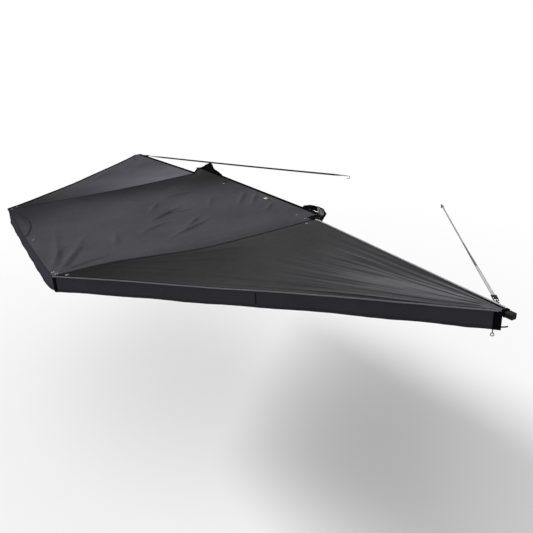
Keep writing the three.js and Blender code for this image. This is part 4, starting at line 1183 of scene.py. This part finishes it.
def add_cover():
    def cover_at(first, second):
        y = -COVER_HALF + 2 * COVER_HALF * first
        wave = 0.006 * second * sin(first * 9 * 2 * pi + sin(first * 17))
        wave += 0.0015 * uneven(y * 14, second * 3, 1)
        curl = 0.006 * smooth((second - 0.8) / 0.2)
        return Vector((COVER_X + wave + curl, y, COVER_TOP - COVER_DROP * second))

    def zip_at(first, second):
        return cover_at(first, 0.90 + 0.09 * second) + OUT * 0.0024

    length = 2 * COVER_HALF
    cover = cloth_sheet("travel_cover_cloth", 200, 20, cover_at, along_uv(length, COVER_DROP), OUT,
                        cover_cloth)
    zip_tape = cloth_sheet("cover_zip_tape", 200, 2, zip_at, along_uv(length, 0.013), OUT, binding_cloth,
                           0.0010)
    carry((cover, zip_tape), on_rail)
    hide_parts("travel_cover")


# Outline of each flap: share of its length, and share of its height there
FRONT_FLAP = [(0, 0.10), (0.12, 0.30), (0.28, 0.72), (0.42, 1.0), (0.55, 0.94), (0.72, 0.55), (0.88, 0.40),
              (1, 0.10)]
REAR_FLAP = [(0, 0.06), (0.14, 0.50), (0.36, 0.82), (0.52, 0.86), (0.74, 0.96), (0.92, 1.0), (0.97, 0.90),
             (1, 0.60)]


def profile(table, share):
    for (a, low), (b, high) in zip(table, table[1:]):
        if share <= b:
            t = (share - a) / (b - a)
            return low + (high - low) * (smooth(t) + t) / 2
    return table[-1][1]


def add_flaps():
    front_low, front_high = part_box("front_cover_flap")
    rear_low, rear_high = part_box("rear_cover_flap")

    def front_point(first, second):
        y = front_low.y + (front_high.y - front_low.y) * first
        height = (front_high.z - front_low.z) * profile(FRONT_FLAP, first)
        fold = 0.010 * sin(first * 21 + 2.2 * second) * sin(pi * second)
        fold += 0.014 * second ** 2 * sin(first * 9 + 1)
        ripple = 0.004 * uneven(y * 16, second * 4, 3)
        return Vector((FLAP_X + fold + ripple, y, front_low.z + 0.001 + height * second))

    def rear_point(first, second):
        y = rear_low.y + (REAR_FLAP_END - rear_low.y) * first
        top = CANOPY_BASE + (rear_high.z - CANOPY_BASE) * profile(REAR_FLAP, first)
        past = smooth((y - RAIL_END - 0.002) / 0.008)
        tail = 1 - 1.25 * clamp((y - 1.262) / 0.078)
        bottom = CANOPY_BASE + 0.001 - past * tail * (CANOPY_BASE - rear_low.z)
        z = bottom + (top - bottom) * second
        fold = 0.011 * sin(first * 17 + 2.6 * second) * sin(pi * min(second * 1.1, 1))
        fold += 0.010 * second * sin(first * 8)
        return Vector((FLAP_X + fold + 0.005 * uneven(y * 18, z * 18, 9), y, z))

    def lining_point(first, second):
        return rear_point(0.66 + 0.24 * first, 0.34 + 0.56 * second) + OUT * 0.0030

    front = cloth_sheet("front_flap_cloth", 90, 24, front_point, wall_uv, OUT, cover_cloth)
    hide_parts("front_cover_flap")
    rear = cloth_sheet("rear_flap_cloth", 90, 40, rear_point, wall_uv, OUT, cover_cloth)
    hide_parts("rear_cover_flap")
    lining = cloth_sheet("rear_flap_lining", 30, 24, lining_point, wall_uv, OUT, lining_cloth, 0.0010)
    carry((front, rear, lining), on_rail)


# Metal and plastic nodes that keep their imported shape

def dress_nodes():
    slots = {s["node"]: s["material_slot"] for s in frame["record"]["subparts"]}
    plain = {"black_metal": black_metal, "steel": steel, "black_plastic": black_plastic, "rubber": rubber,
             "canopy_cloth": middle_cloth, "valance_cloth": valance_cloth, "cover_cloth": cover_cloth,
             "webbing": front_belt}
    for name, node in frame["nodes"].items():
        drawn = aluminium_x if "outer_arm" in name else aluminium_y
        dress(node, plain.get(slots[name], drawn))


# Studio

def add_floor():
    level = -1.98
    white, black = (1, 1, 1, 1), (0, 0, 0, 1)
    ground = settle(make("floor", bpy.ops.mesh.primitive_plane_add, size=120, location=(0, 0, level)))
    material, tree, surface, place = start_material("pale floor", 0.9, specular=0.0)
    near = use(tree, "fade", Place=place, Centre=(0.9, 0.2, level), Reach=(9.0, 9.0, 9.0))["Mask"]
    paint = blend(tree, mottle(tree, place, 0.3, 2.0), (0.93, 0.93, 0.93, 1), (0.95, 0.95, 0.95, 1))
    seen = put(tree, "LightPath").outputs["Is Camera Ray"]
    away = calc(tree, "MULTIPLY", seen, calc(tree, "SUBTRACT", 1.0, near))
    feed(tree, surface, {"Base Color": blend(tree, away, paint, black),
                         "Emission Color": blend(tree, away, black, white), "Emission Strength": 1.0})
    dress(ground, material)


def add_lights():
    for name, direction, energy, angle in (("key", (0.40, -0.79, 0.50), 3.4, 14),
                                           ("fill", (0.4, 0.3, 1.2), 0.5, 60)):
        data = bpy.data.lights.new(name, "SUN")
        data.energy = energy
        data.angle = radians(angle)
        link_new(name, data).rotation_euler = Vector(direction).to_track_quat("Z", "Y").to_euler()
    world = bpy.data.worlds.new("studio")
    bpy.context.scene.world = world
    world.use_nodes = True
    tree = world.node_tree
    tree.nodes.clear()
    path = put(tree, "LightPath").outputs
    seen = calc(tree, "MAXIMUM", path["Is Camera Ray"],
                calc(tree, "MAXIMUM", path["Is Glossy Ray"], path["Is Transmission Ray"]))
    sky = put(tree, "Background", {"Color": (1, 1, 1, 1), "Strength": remap(tree, seen, 0, 1, 0.30, 1.0)})
    put(tree, "OutputWorld", {"Surface": sky.outputs[0]})


add_middle()
for end in SIDE:
    add_triangle(end)
for end in SIDE:
    add_end_valance(end)
add_side_valance()
for number, (x, y) in enumerate(MIDDLE_EYELETS, 1):
    add_eyelet(f"middle_eyelet_{number}", x, y, gather_on_rail)
for number, (end, x, y) in enumerate(END_EYELETS, 1):
    add_eyelet(f"{end}_eyelet_{number}", x, SIDE[end] * y, gather_on_arm[end])
add_tab("back_tab_1", 0.105, -0.34, canopy_tape)
add_tab("back_tab_2", 0.108, 0.535, tab_cloth)
add_guy_ring()
for end in SIDE:
    add_hub_gusset(end)
for end in SIDE:
    add_corner_strap(end)
add_cover()
add_flaps()
dress_nodes()
add_floor()
add_lights()
bpy.context.scene.view_settings.view_transform = "Standard"
clear_selection()
